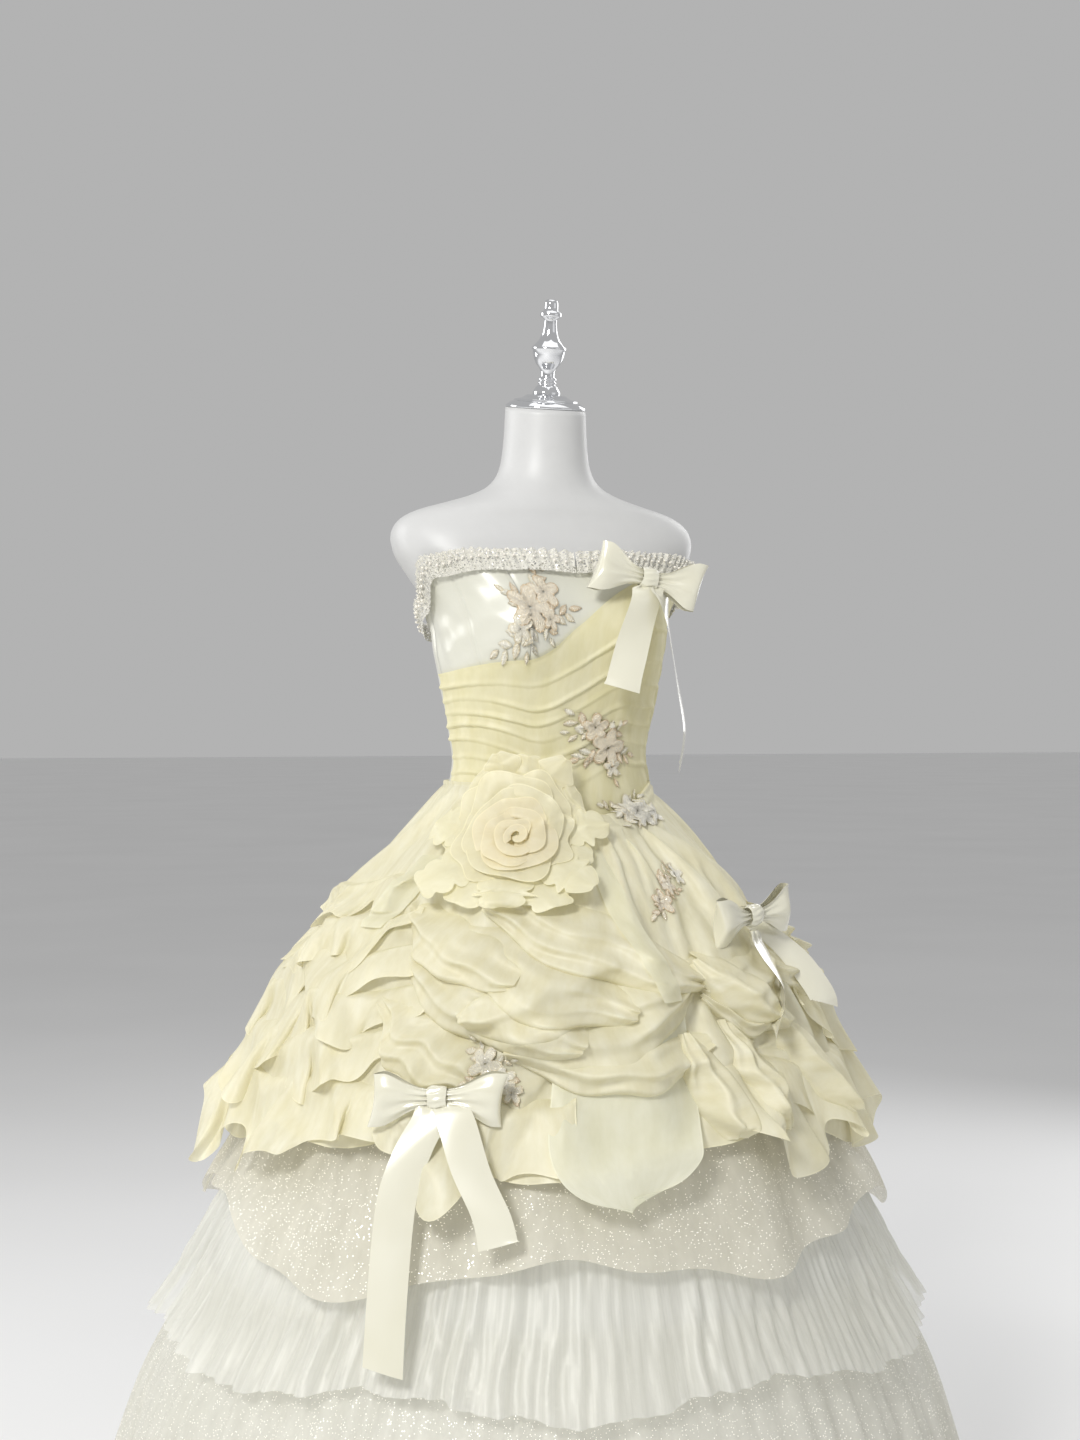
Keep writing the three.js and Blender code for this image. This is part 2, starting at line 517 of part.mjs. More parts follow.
// The bows' tails. Each row of a path is a place on the tail's middle line, and turn is the
// angle of the line across the ribbon there, as seen from above.
const TAIL_WIDE = 43;
const TAILS = [
  { name: "bow_bust_tail_short", path: [
    { x: 76, y: -142, z: 1266, turn: 2 }, { x: 62, y: -144, z: 1214, turn: -2 },
    { x: 47, y: -140, z: 1155, turn: -6 },
  ] },
  { name: "bow_bust_tail_long", path: [
    { x: 104, y: -134, z: 1262, turn: 46 }, { x: 110, y: -144, z: 1215, turn: 64 },
    { x: 120, y: -146, z: 1154, turn: 72 }, { x: 127, y: -142, z: 1105, turn: 74 },
    { x: 122, y: -136, z: 1059, turn: 66 },
  ] },
  { name: "bow_hip_tail_long", path: [
    { x: 176, y: -206, z: 884, turn: 26 }, { x: 240, y: -206, z: 837, turn: 18 },
    { x: 268, y: -219, z: 796, turn: 12 }, { x: 276, y: -229, z: 775, turn: 10 },
  ] },
  { name: "bow_hip_tail_short", path: [
    { x: 172, y: -244, z: 868, turn: 50 }, { x: 184, y: -259, z: 838, turn: 64 },
    { x: 192, y: -281, z: 801, turn: 70 }, { x: 163, y: -326, z: 760, turn: 66 },
  ] },
  { name: "bow_skirt_tail_long", path: [
    { x: -240, y: -316, z: 692, turn: -18 }, { x: -265, y: -320, z: 651, turn: -22 },
    { x: -285, y: -326, z: 599, turn: -22 }, { x: -300, y: -345, z: 509, turn: -24 },
    { x: -310, y: -362, z: 427, turn: -24 },
  ] },
  { name: "bow_skirt_tail_short", path: [
    { x: -222, y: -326, z: 693, turn: -22 }, { x: -211, y: -357, z: 633, turn: -20 },
    { x: -196, y: -381, z: 589, turn: -18 }, { x: -190, y: -389, z: 558, turn: -18 },
  ] },
];

function makeTail(tail) {
  const places = tail.path.map((row) => new THREE.Vector3(row.x, row.y, row.z));
  const middle = new THREE.CatmullRomCurve3(places);
  const turnAt = (share) => {
    const k = share * (tail.path.length - 1);
    const i = Math.min(tail.path.length - 2, Math.floor(k));
    return mix(tail.path[i].turn, tail.path[i + 1].turn, k - i) * DEG;
  };
  const faceAt = (u, v) => {
    const turn = turnAt(clamp01(v));
    const half = TAIL_WIDE * mix(0.28, 0.5, smooth(6 * v));
    const sideways = new THREE.Vector3(Math.cos(turn), Math.sin(turn), 0);
    return middle.getPoint(clamp01(v)).addScaledVector(sideways, mix(-half, half, u));
  };
  add(tail.name, wall(faceAt, 1, 7, RIBBON), MATERIAL.ribbon);
}

// The rosette at the waist: rings of petals round a rolled bud, over two rings of lobed leaves.
const ROSETTE = { phi: -29, z: 984, round: 165 };
const ROSETTE_RINGS = [
  { name: "rosette_leaves", inner: 30, outer: 92, low: 5, high: 9, petals: 8, lobe: 0.12, wave: 2 },
  { name: "rosette_outer_petals", inner: 22, outer: 66, low: 9, high: 24, petals: 5, lobe: 0.08, wave: 3 },
  { name: "rosette_inner_petals", inner: 12, outer: 44, low: 12, high: 33, petals: 4, lobe: 0.06, wave: 2 },
  { name: "rosette_bud", inner: 4, outer: 21, low: 17, high: 39, petals: 2, lobe: 0.08, wave: 1.5 },
];

function makeRosette() {
  for (const ring of ROSETTE_RINGS) {
    const faceAt = (u, v) => {
      const angle = 2 * Math.PI * u;
      const share = 1 - v;
      const lobed = ring.outer * (1 + ring.lobe * Math.cos(ring.petals * angle));
      const radius = mix(ring.inner, lobed, share);
      const wave = ring.wave * share * Math.sin(ring.petals * angle + 1);
      const height = mix(ring.low, ring.high, share ** 2) + wave;
      const phi = ROSETTE.phi + (radius * Math.cos(angle)) / (ROSETTE.round * DEG);
      return coverPoint(phi, ROSETTE.z + radius * Math.sin(angle), WALL + height);
    };
    const columns = 3 * Math.max(4, ring.petals);
    add(ring.name, wall((u, v) => faceAt(1 - u, v), columns, 2, WALL, true), MATERIAL.organza);
  }
}

// Folded organza streamers that leave the rosette and lie on the overskirt.
const STREAMERS = [
  { name: "streamer_front", wide: 27, from: { phi: -2, z: 962 }, to: { phi: 5.5, z: 801 }, lift: 2 },
  { name: "streamer_right", wide: 34, from: { phi: -59, z: 955 }, to: { phi: -66, z: 873 }, lift: 1 },
];

function makeStreamers() {
  for (const strip of STREAMERS) {
    const faceAt = (u, v) => {
      const z = mix(strip.from.z, strip.to.z, v);
      const across = (mix(-0.5, 0.5, u) * strip.wide) / (along(OVERSKIRT, "r", z) * DEG);
      return coverPoint(mix(strip.from.phi, strip.to.phi, v) + across, z, WALL + strip.lift);
    };
    add(strip.name, wall(faceAt, 2, 5, WALL), MATERIAL.organza);
  }
}

// Embroidered lace sprays, each a lobed patch on the gown.
const SPRAYS = [
  { name: "spray_bust", phi: -25, z: 1238, wide: 146, tall: 84, turn: 24, lobes: 5 },
  { name: "spray_waist", phi: 15, z: 1090, wide: 112, tall: 84, turn: -42, lobes: 5 },
  { name: "spray_hip", phi: 29, z: 1004, wide: 80, tall: 40, turn: 2, lobes: 4 },
  { name: "spray_side", phi: 19, z: 916, wide: 86, tall: 46, turn: 28, lobes: 4 },
  { name: "spray_skirt", phi: -28, z: 728, wide: 84, tall: 52, turn: -30, lobes: 4 },
];
const SPRAY_SEGMENTS = 12;

function makeSpray(spray) {
  const around = coverPoint(spray.phi + 1, spray.z, 0).distanceTo(coverPoint(spray.phi, spray.z, 0));
  const [c, s] = [Math.cos(spray.turn * DEG), Math.sin(spray.turn * DEG)];
  const faceAt = (u, v) => {
    const angle = -2 * Math.PI * u;
    const reach = mix(0.08, 1 - 0.26 * (0.5 + 0.5 * Math.cos(spray.lobes * angle)), v);
    const [x, y] = [(spray.wide / 2) * reach * Math.cos(angle), (spray.tall / 2) * reach * Math.sin(angle)];
    return coverPoint(spray.phi + (x * c - y * s) / around, spray.z + x * s + y * c, WALL);
  };
  add(spray.name, wall(faceAt, SPRAY_SEGMENTS, 1, WALL, true), MATERIAL.lace);
}

makeForm();
makeStand();
makeBodice();
makeDrape();
makeFrills();
LAYERS.forEach(makeLayer);
makeFlounces();
BOWS.forEach(makeBow);
TAILS.forEach(makeTail);
makeRosette();
makeStreamers();
SPRAYS.forEach(makeSpray);

export default part;
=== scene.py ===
"""The looks of a strapless ball gown on a limbless dress form: sheer organza, glitter tulle,
gathered tulle, satin ribbon, embroidered lace, and the form's chrome finial."""

import json
import math

import bmesh
import bpy
import numpy as np
from numpy import abs, cos, pi, sin
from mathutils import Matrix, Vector
from mathutils.bvhtree import BVHTree

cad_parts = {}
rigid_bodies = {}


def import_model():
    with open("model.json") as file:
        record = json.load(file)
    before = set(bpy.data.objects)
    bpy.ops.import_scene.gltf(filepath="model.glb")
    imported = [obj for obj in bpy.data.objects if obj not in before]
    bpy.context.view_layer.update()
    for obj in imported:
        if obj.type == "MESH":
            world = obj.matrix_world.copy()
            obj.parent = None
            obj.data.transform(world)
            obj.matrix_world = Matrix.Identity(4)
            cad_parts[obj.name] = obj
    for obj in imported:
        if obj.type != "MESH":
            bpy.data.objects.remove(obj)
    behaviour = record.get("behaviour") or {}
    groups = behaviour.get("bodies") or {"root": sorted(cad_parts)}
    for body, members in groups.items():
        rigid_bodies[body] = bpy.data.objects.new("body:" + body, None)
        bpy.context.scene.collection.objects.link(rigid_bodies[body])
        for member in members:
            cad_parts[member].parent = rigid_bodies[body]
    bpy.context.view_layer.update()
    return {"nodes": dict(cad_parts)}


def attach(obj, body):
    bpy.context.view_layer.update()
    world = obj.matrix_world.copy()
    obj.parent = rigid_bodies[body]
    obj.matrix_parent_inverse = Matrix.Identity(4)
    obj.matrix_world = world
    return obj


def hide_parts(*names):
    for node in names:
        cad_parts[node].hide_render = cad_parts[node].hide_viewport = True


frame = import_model()

MM = 0.001
DEG = math.pi / 180
TAU = 2 * math.pi

# ---- Shapes in millimetres, as in the solids ----

FORM = {
    "z": [1512, 1460, 1430, 1412, 1400, 1390, 1380, 1368, 1350, 1325, 1300, 1270, 1240, 1200, 1150,
          1100, 1060, 1010, 950, 890, 830, 790],
    "half": [51, 54, 60, 74, 98, 130, 165, 187, 197, 193, 178, 158, 146, 140, 130,
             121, 117, 128, 150, 163, 160, 146],
    "front": [51, 53, 57, 62, 66, 71, 76, 81, 88, 98, 106, 111, 112, 108, 100,
              92, 90, 95, 102, 106, 105, 97],
    "back": [51, 54, 58, 63, 67, 71, 74, 78, 84, 90, 95, 98, 98, 95, 90,
             86, 86, 95, 110, 121, 118, 106],
    "square": [2, 2, 2, 2, 2.05, 2.1, 2.2, 2.35, 2.5, 2.5, 2.4, 2.3, 2.25, 2.2, 2.2,
               2.2, 2.2, 2.2, 2.3, 2.35, 2.35, 2.3],
    "lean": [6, 8, 10, 12, 13, 14, 15, 17, 17, 15, 12, 8, 5, 2, 0, 0, 0, 0, 0, 0, 0, 0],
}
BUST = {"z": 1226, "apart": 76, "wide": 50, "tall": 48, "out": 26}
UNDERSKIRT = {"z": [1030, 1000, 950, 900, 800, 700, 600, 500, 440, 370, 240, 120, 10],
              "r": [132, 148, 172, 200, 255, 305, 350, 392, 415, 442, 492, 538, 574]}
BOTTOM_TIER = {"z": [455, 400, 370, 312, 240, 120, 12], "r": [424, 450, 466, 496, 522, 558, 588]}
TULLE_TIER = {"z": [605, 560, 500, 440, 370, 350], "r": [364, 388, 422, 454, 492, 502]}
GLITTER_TIER = {"z": [780, 700, 650, 600, 560, 480], "r": [298, 338, 364, 392, 416, 456]}
OVERSKIRT = {"z": [1045, 1016, 953, 891, 830, 768, 707, 650, 590],
             "r": [130, 160, 208, 252, 296, 330, 360, 386, 412]}
SKIRT_DEPTH = 0.96
SKIRT_TRAIL = 45
PANEL_OUT = 5.1
DRAPE_OUT = 8.5
HIP_OUT = 7.6
HEM_WIDE = 0.0016
RAY_OUT, RAY_LONG, NOTHING = 70, 0.16, -90.0


def along(table, column, z):
    """One column of a table of sections, read at heights z along a smooth curve."""
    zs = np.asarray(table["z"][::-1], float)
    vs = np.asarray(table[column][::-1], float)
    z = np.clip(np.asarray(z, float), zs[0], zs[-1])
    i = np.clip(np.searchsorted(zs, z) - 1, 0, len(zs) - 2)
    i0, i3 = np.maximum(i - 1, 0), np.minimum(i + 2, len(zs) - 1)
    h = zs[i + 1] - zs[i]
    t = (z - zs[i]) / h
    m1 = (vs[i + 1] - vs[i0]) / (zs[i + 1] - zs[i0]) * h
    m2 = (vs[i3] - vs[i]) / (zs[i3] - zs[i]) * h
    t2, t3 = t * t, t ** 3
    from_here = (2 * t3 - 3 * t2 + 1) * vs[i] + (t3 - 2 * t2 + t) * m1
    return from_here + (3 * t2 - 2 * t3) * vs[i + 1] + (t3 - t2) * m2


def smooth(t):
    t = np.clip(t, 0, 1)
    return t * t * (3 - 2 * t)


def hill(x, width):
    return np.exp(-(x / width) ** 2)


def wrap(phi):
    return (np.asarray(phi) + 180) % 360 - 180


def mix(a, b, t):
    return a + (b - a) * t


def unit(v):
    return v / np.maximum(np.linalg.norm(v, axis=-1, keepdims=True), 1e-9)


def skin(phi, z):
    """Points on the form's skin for angles phi (degrees from the front towards +X) and heights z."""
    phi, z = np.broadcast_arrays(np.asarray(phi, float), np.asarray(z, float))
    s, c = sin(phi * DEG), cos(phi * DEG)
    power = 2 / along(FORM, "square", z)
    reach = np.where(c > 0, along(FORM, "front", z), along(FORM, "back", z))
    x = along(FORM, "half", z) * np.sign(s) * abs(s) ** power
    y = -reach * np.sign(c) * abs(c) ** power + along(FORM, "lean", z)
    cups = hill(x - BUST["apart"], BUST["wide"]) + hill(x + BUST["apart"], BUST["wide"])
    bust = np.where(c > 0, BUST["out"] * cups * hill(z - BUST["z"], BUST["tall"]) * smooth(3 * c), 0)
    return np.stack([x, y - bust, z], -1)


def on_form(phi, z, out):
    """Points above the skin, along its own normal."""
    around = skin(phi + 1, z) - skin(phi - 1, z)
    upwards = skin(phi, z + 3) - skin(phi, z - 3)
    return skin(phi, z) + unit(np.cross(around, upwards)) * np.asarray(out)[..., None]


def bell(phi, z, radius):
    trail = SKIRT_TRAIL * smooth((820 - z) / 820)
    x = radius * sin(phi * DEG)
    y = trail - radius * SKIRT_DEPTH * cos(phi * DEG)
    return np.stack(np.broadcast_arrays(x, y, z), -1)


def skirt(phi, z, radius, hug, loose=1):
    """Points on a skirt layer: it hugs the form at the waist and is a round bell lower down."""
    t = (smooth((1060 - z) / 150) * loose)[..., None]
    return on_form(phi, z, hug) * (1 - t) + bell(phi, z, radius) * t


def neckline_z(phi):
    turn = abs(wrap(phi))
    front = 1306 - 4 * hill(turn, 14) - 42 * smooth((turn - 58) / 26)
    return front - 32 * smooth((turn - 82) / 30) - 14 * smooth((turn - 110) / 60)


def bodice_foot_z(phi):
    return 1034 - 46 * hill(wrap(phi - 12), 34)


def drape_top_z(phi):
    rising = 1176 + 18 * smooth((phi + 90) / 70) + 98 * smooth((phi + 26) / 62)
    return np.minimum(rising, neckline_z(phi) - 8)


def cover(phi, z, out):
    """The smooth face over the bodice, the wrap and the overskirt's folds, or a face out from it."""
    free = smooth((bodice_foot_z(phi) - 2 - z) / 60)
    return skirt(phi, z, along(OVERSKIRT, "r", z) + free * 16 + 3 + out, DRAPE_OUT + 3.2 + out)


def waves(x, seed, low, high, count):
    """A smooth uneven wave of x in turns: count sines of whole-number frequencies, near -1 to 1."""
    rng = np.random.default_rng(seed)
    total = 0
    for _ in range(count):
        total = total + rng.uniform(0.5, 1) * sin(TAU * rng.integers(low, high + 1) * x + rng.uniform(0, TAU))
    return total / math.sqrt(count * 0.58 / 2) / 1.8


# ---- Materials ----


class Nodes:
    """A material's node tree, with short calls to add and join nodes."""

    def __init__(self, name):
        self.material = bpy.data.materials.new(name)
        self.material.use_nodes = True
        self.tree = self.material.node_tree
        self.tree.nodes.clear()
        self.out = self.tree.nodes.new("ShaderNodeOutputMaterial")

    def add(self, kind, **values):
        node = self.tree.nodes.new("ShaderNode" + kind)
        for key, value in values.items():
            if hasattr(node, key) and key not in node.inputs:
                setattr(node, key, value)
            else:
                self.put(node.inputs[key.replace("_", " ")], value)
        return node

    def put(self, socket, value):
        if isinstance(value, bpy.types.NodeSocket):
            self.tree.links.new(value, socket)
        elif isinstance(value, bpy.types.Node):
            self.tree.links.new(value.outputs[0], socket)
        else:
            socket.default_value = value

    def filled(self, kind, *values):
        """A node whose first inputs take the given values."""
        node = self.tree.nodes.new("ShaderNode" + kind)
        for socket, value in zip(node.inputs, values):
            self.put(socket, value)
        return node

    def math(self, operation, a, b=0.5, c=0.5, clamp=False):
        node = self.filled("Math", a, b, c)
        node.operation, node.use_clamp = operation, clamp
        return node

    def ramp(self, fac, stops):
        node = self.tree.nodes.new("ShaderNodeValToRGB")
        ramp = node.color_ramp
        while len(ramp.elements) < len(stops):
            ramp.elements.new(0.5)
        for element, (place, color) in zip(ramp.elements, stops):
            element.position = place
            element.color = color if len(color) == 4 else (*color, 1)
        self.put(node.inputs[0], fac)
        return node

    def mixed(self, fac, a, b):
        return self.filled("MixShader", fac, a, b)

    def uv(self, scale=(1, 1, 1)):
        mapping = self.add("Mapping", Scale=scale)
        self.put(mapping.inputs["Vector"], self.add("UVMap", uv_map="cloth"))
        return mapping

    def finish(self, shader):
        self.put(self.out.inputs["Surface"], shader)
        return self.material


def noise(n, vector, scale, detail=4, roughness=0.55):
    return n.add("TexNoise", Vector=vector, Scale=scale, Detail=detail, Roughness=roughness)


def sparkle(n, vector, scale, size, dull):
    """1 inside small dots of a size, apart from a dull share of them, and 0 between them."""
    cells = n.add("TexVoronoi", Vector=vector, Scale=scale)
    dot = n.math("LESS_THAN", cells.outputs["Distance"], size)
    bright = n.math("GREATER_THAN", n.add("SeparateColor", Color=cells.outputs["Color"]).outputs[0], dull)
    return n.math("MULTIPLY", dot, bright)


def sheer(name, color, deep, clear, hem=True, glitter=0.0, streak=0.0, shine=0.05, glow=0.4):
    """A see-through cloth: part of the light goes straight on, part glows through, part scatters."""
    n = Nodes(name)
    uv = n.uv()
    weave = noise(n, n.uv((150, 3, 1)), 1, 3) if streak else noise(n, n.uv((1, 0.4, 1)), 50, 3)
    tone = n.ramp(weave, [(0.3, deep), (0.7, color)])
    creases = n.add("Bump", Strength=0.35, Distance=0.002, Height=noise(n, n.uv((1, 0.5, 1)), 45, 3, 0.6))
    diffuse = n.add("BsdfDiffuse", Color=tone, Normal=creases)
    through = n.add("BsdfTranslucent", Color=tone, Normal=creases)
    sheen = n.add("BsdfGlossy", Color=(1, 0.99, 0.95, 1), Roughness=0.5, Normal=creases)
    body = n.mixed(shine, n.mixed(glow, diffuse, through), sheen)
    gaps = n.math("MULTIPLY_ADD", weave, -(streak or 0.2), clear + (streak or 0.2) / 2, clamp=True)
    if hem:
        edge = n.add("Attribute", attribute_name="edge")
        rolled = n.math("LESS_THAN", edge.outputs["Fac"], HEM_WIDE)
        gaps = n.math("MULTIPLY", gaps, n.math("SUBTRACT", 1.0, n.math("MULTIPLY", rolled, 0.9)), clamp=True)
    layer = n.mixed(gaps, body, n.add("BsdfTransparent", Color=(1, 1, 1, 1)))
    if glitter:
        # The glitter flakes are shiny metallic dots that also glow a little by emission: a painted glint on
        # each dot.
        flake_with_painted_glint = n.add("BsdfPrincipled", Base_Color=(1, 0.97, 0.9, 1), Roughness=0.3, Metallic=0.3,
                      Emission_Color=(1, 0.97, 0.9, 1), Emission_Strength=0.25)
        layer = n.mixed(sparkle(n, uv, glitter, 0.2, 0.15), layer, flake_with_painted_glint)
    return n.finish(layer)


def satin(name, color, deep, rough, gloss=0.6, coat=0.15):
    n = Nodes(name)
    tone = n.ramp(noise(n, n.uv(), 8, 2), [(0.3, deep), (0.7, color)])
    threads = n.add("TexWave", Vector=n.uv((1, 1, 1)), Scale=400.0, Distortion=0.6, bands_direction="X")
    bump = n.add("Bump", Strength=0.05, Distance=0.0003, Height=threads)
    cloth = n.add("BsdfPrincipled", Base_Color=tone, Roughness=rough, Sheen_Weight=0.25, Normal=bump,
                  Specular_IOR_Level=gloss, Coat_Weight=coat, Coat_Roughness=0.16, Anisotropic=0.5)
    return n.finish(cloth)


def plain(name, color, rough, metal=0.0, bumps=0.0):
    n = Nodes(name)
    coord = n.add("TexCoord").outputs["Object"]
    grain = noise(n, coord, 40, 3)
    tone = n.ramp(grain, [(0.2, tuple(0.96 * c for c in color)), (0.8, color)])
    bump = n.add("Bump", Strength=bumps, Distance=0.0005, Height=noise(n, coord, 300, 2))
    return n.finish(n.add("BsdfPrincipled", Base_Color=tone, Roughness=rough, Metallic=metal, Normal=bump))


def embroidery(name, color, deep, light, holes=0.0):
    """Dense shiny thread over net, with fine stitch lines and bright flecks."""
    n = Nodes(name)
    uv = n.uv()
    stitches = n.add("TexWave", Vector=uv, Scale=260.0, Distortion=9.0, Detail=3.0,
                     bands_direction="DIAGONAL")
    inside = n.math("MULTIPLY", n.add("Attribute", attribute_name="edge").outputs["Fac"], 260.0, clamp=True)
    worn = n.math("MULTIPLY_ADD", stitches, 0.3, n.math("MULTIPLY", noise(n, uv, 160, 3), 0.35))
    tone = n.ramp(n.math("MULTIPLY_ADD", inside, 0.45, worn), [(0.2, deep), (0.42, color), (0.8, light)])
    bump = n.add("Bump", Strength=0.8, Distance=0.0012, Height=n.math("ADD", stitches, noise(n, uv, 350, 2)))
    thread = n.add("BsdfPrincipled", Base_Color=tone, Roughness=0.38, Sheen_Weight=0.4, Normal=bump)
    shine = n.add("BsdfPrincipled", Base_Color=(1, 0.96, 0.9, 1), Roughness=0.2, Metallic=0.5)
    laid = n.mixed(sparkle(n, uv, 420.0, 0.22, 0.6), thread, shine)
    if holes:
        net = n.add("TexVoronoi", Vector=n.uv((1, 1.6, 1)), Scale=230.0, feature="DISTANCE_TO_EDGE")
        inside = n.math("GREATER_THAN", net.outputs["Distance"], 0.22)
        laid = n.mixed(n.math("MULTIPLY", inside, holes * 2, clamp=True), laid, n.add("BsdfTransparent"))
    return n.finish(laid)


CREAM, CREAM_DEEP = (0.92, 0.89, 0.715), (0.88, 0.832, 0.60)
LOOK = {
    "skin": plain("form_skin", (0.62, 0.62, 0.615), 0.42, bumps=0.02),
    "chrome": plain("chrome", (0.86, 0.87, 0.89), 0.08, 1.0),
    "stand": plain("stand_paint", (0.80, 0.80, 0.81), 0.35),
    "pearl": plain("pearl", (0.90, 0.86, 0.78), 0.18),
    "bodice": satin("bodice_satin", (0.73, 0.725, 0.64), (0.67, 0.665, 0.57), 0.3, 0.8, 0.3),
    "underskirt": satin("underskirt_satin", (0.85, 0.85, 0.81), (0.80, 0.80, 0.76), 0.3),
    "ribbon": satin("ribbon_satin", (0.83, 0.81, 0.68), (0.76, 0.735, 0.585), 0.25, 1.0, 0.9),
    "drape": sheer("pleated_organza", (0.925, 0.88, 0.635), (0.89, 0.835, 0.53), 0.06, hem=False, glow=0.28),
    "organza": sheer("organza", CREAM, CREAM_DEEP, 0.09, glow=0.28),
    "petal": sheer("petal_organza", (0.92, 0.885, 0.69), (0.89, 0.84, 0.60), 0.16, glow=0.35),
    "flap": sheer("flap_organza", (0.92, 0.915, 0.775), (0.895, 0.885, 0.71), 0.14, glow=0.3),
    "streamer": sheer("streamer_organza", (0.915, 0.90, 0.745), (0.885, 0.865, 0.67), 0.12, hem=False),
    "rose_heart": sheer("rose_heart_organza", (0.93, 0.875, 0.68), (0.90, 0.82, 0.57), 0.08, glow=0.35),
    "leaf": sheer("leaf_organza", (0.92, 0.89, 0.69), (0.89, 0.845, 0.60), 0.06, glow=0.3),
    "tulle": sheer("white_tulle", (0.90, 0.90, 0.855), (0.85, 0.85, 0.80), 0.40, hem=False, streak=0.3,
                   shine=0.1),
    "glitter": sheer("glitter_tulle", (0.87, 0.84, 0.735), (0.79, 0.76, 0.65), 0.26, hem=False,
                     glitter=300.0),
    "pale_glitter": sheer("pale_glitter_tulle", (0.88, 0.87, 0.80), (0.81, 0.80, 0.73), 0.30, hem=False,
                          glitter=300.0),
    "lace": embroidery("neckline_lace", (0.90, 0.86, 0.70), (0.76, 0.70, 0.52), (0.96, 0.94, 0.86), 0.40),
    "bronze": embroidery("bronze_thread", (0.74, 0.57, 0.36), (0.50, 0.36, 0.19), (0.95, 0.87, 0.70)),
    "silver": embroidery("silver_thread", (0.88, 0.82, 0.62), (0.68, 0.60, 0.40), (0.98, 0.95, 0.85)),
    "cream": embroidery("cream_thread", (0.84, 0.74, 0.52), (0.60, 0.49, 0.30), (0.95, 0.91, 0.78)),
}

# ---- Meshes ----


def shown(name, data):
    """An object for some data, in the scene."""
    obj = bpy.data.objects.new(name, data)
    bpy.context.scene.collection.objects.link(obj)
    return obj


def part(obj, slot, *nodes):
    """Attaches a piece of the gown or its stand to the root body, and hides the solids it stands for."""
    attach(obj, "root")
    if nodes:
        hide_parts(*nodes)


def grid(name, points, material, ring=False, edges=""):
    """A cloth from points[row][column] in millimetres. edges names the free sides, out of t, b, l, r."""
    rows, cols = points.shape[:2]
    index = np.arange(rows * cols).reshape(rows, cols)
    left = index if ring else index[:, :-1]
    right = np.roll(index, -1, 1) if ring else index[:, 1:]
    faces = np.stack([left[:-1], left[1:], right[1:], right[:-1]], -1).reshape(-1, 4)
    closed = np.concatenate([points, points[:, :1]], 1) if ring else points
    across = np.linalg.norm(np.diff(closed, axis=1), axis=2)
    down = np.linalg.norm(np.diff(points, axis=0), axis=2)
    s = np.concatenate([np.zeros((rows, 1)), np.cumsum(across, 1)], 1)
    t = np.concatenate([np.zeros((1, cols)), np.cumsum(down, 0)], 0)
    mesh = bpy.data.meshes.new(name)
    mesh.from_pydata((points.reshape(-1, 3) * MM).tolist(), [], faces.tolist())
    mean_s = np.broadcast_to(s.mean(0), (rows, s.shape[1]))
    u0, u1 = mean_s[:, :-1], mean_s[:, 1:]
    tt = t if ring else t[:, :-1]
    tr = np.roll(t, -1, 1) if ring else t[:, 1:]
    uv = np.stack([np.stack([u0[:-1], tt[:-1]], -1), np.stack([u0[1:], tt[1:]], -1),
                   np.stack([u1[1:], tr[1:]], -1), np.stack([u1[:-1], tr[:-1]], -1)], 2)
    layer = mesh.uv_layers.new(name="cloth")
    layer.data.foreach_set("uv", (uv.reshape(-1, 2) * MM).ravel())
    far = np.full((rows, cols), 1e3)
    from_left = s[:, :cols]
    for side in edges:
        far = np.minimum(far, {"t": t, "b": t[-1:] - t, "l": from_left, "r": s[:, -1:] - from_left}[side])
    edge = mesh.attributes.new("edge", "FLOAT", "POINT")
    edge.data.foreach_set("value", (far * MM).ravel().astype(np.float32))
    mesh.materials.append(material)
    mesh.polygons.foreach_set("use_smooth", [True] * len(mesh.polygons))
    obj = shown(name, mesh)
    obj["wide"] = float(s[:, -1].max() * MM)
    obj["long"] = float(np.median(t[-1]) * MM)
    return obj


def area_of(obj):
    mesh = bmesh.new()
    mesh.from_object(obj, bpy.context.evaluated_depsgraph_get())
    total = sum(f.calc_area() for f in mesh.faces)
    mesh.free()
    return total


def cloth(obj, nodes, slot, held="hung", flat=None):
    """Attaches a grid and lets it stand for its solids, which it hides; it works out a sheet size from the
    grid's measured area but keeps nothing of it.
    """
    part(obj, slot, *nodes)
    wide, length = flat or (obj["wide"], obj["long"])
    surface = area_of(obj)
    length = max(length, 1.15 * surface / wide) if flat else min(length, surface / (0.6 * wide))
    return obj


def join(objects, name):
    """Makes one object of several; it keeps the sum of their sizes, side by side."""
    wide = sum(o["wide"] for o in objects)
    length = max(o["long"] for o in objects)
    chosen = {"active_object": objects[0], "selected_objects": objects, "selected_editable_objects": objects}
    with bpy.context.temp_override(**chosen):
        bpy.ops.object.join()
    objects[0].name = name
    objects[0]["wide"], objects[0]["long"] = wide, length
    return objects[0]


def subdivide(obj):
    modifier = obj.modifiers.new("smooth", "SUBSURF")
    modifier.levels = modifier.render_levels = 1


def mesh_grid(rows, cols, ring=False):
    u = np.arange(cols) / cols if ring else np.linspace(0, 1, cols)
    v = np.linspace(0, 1, rows)
    return np.meshgrid(u, v)


# ---- The dress form ----

NECK_SLOPE = 10 * DEG


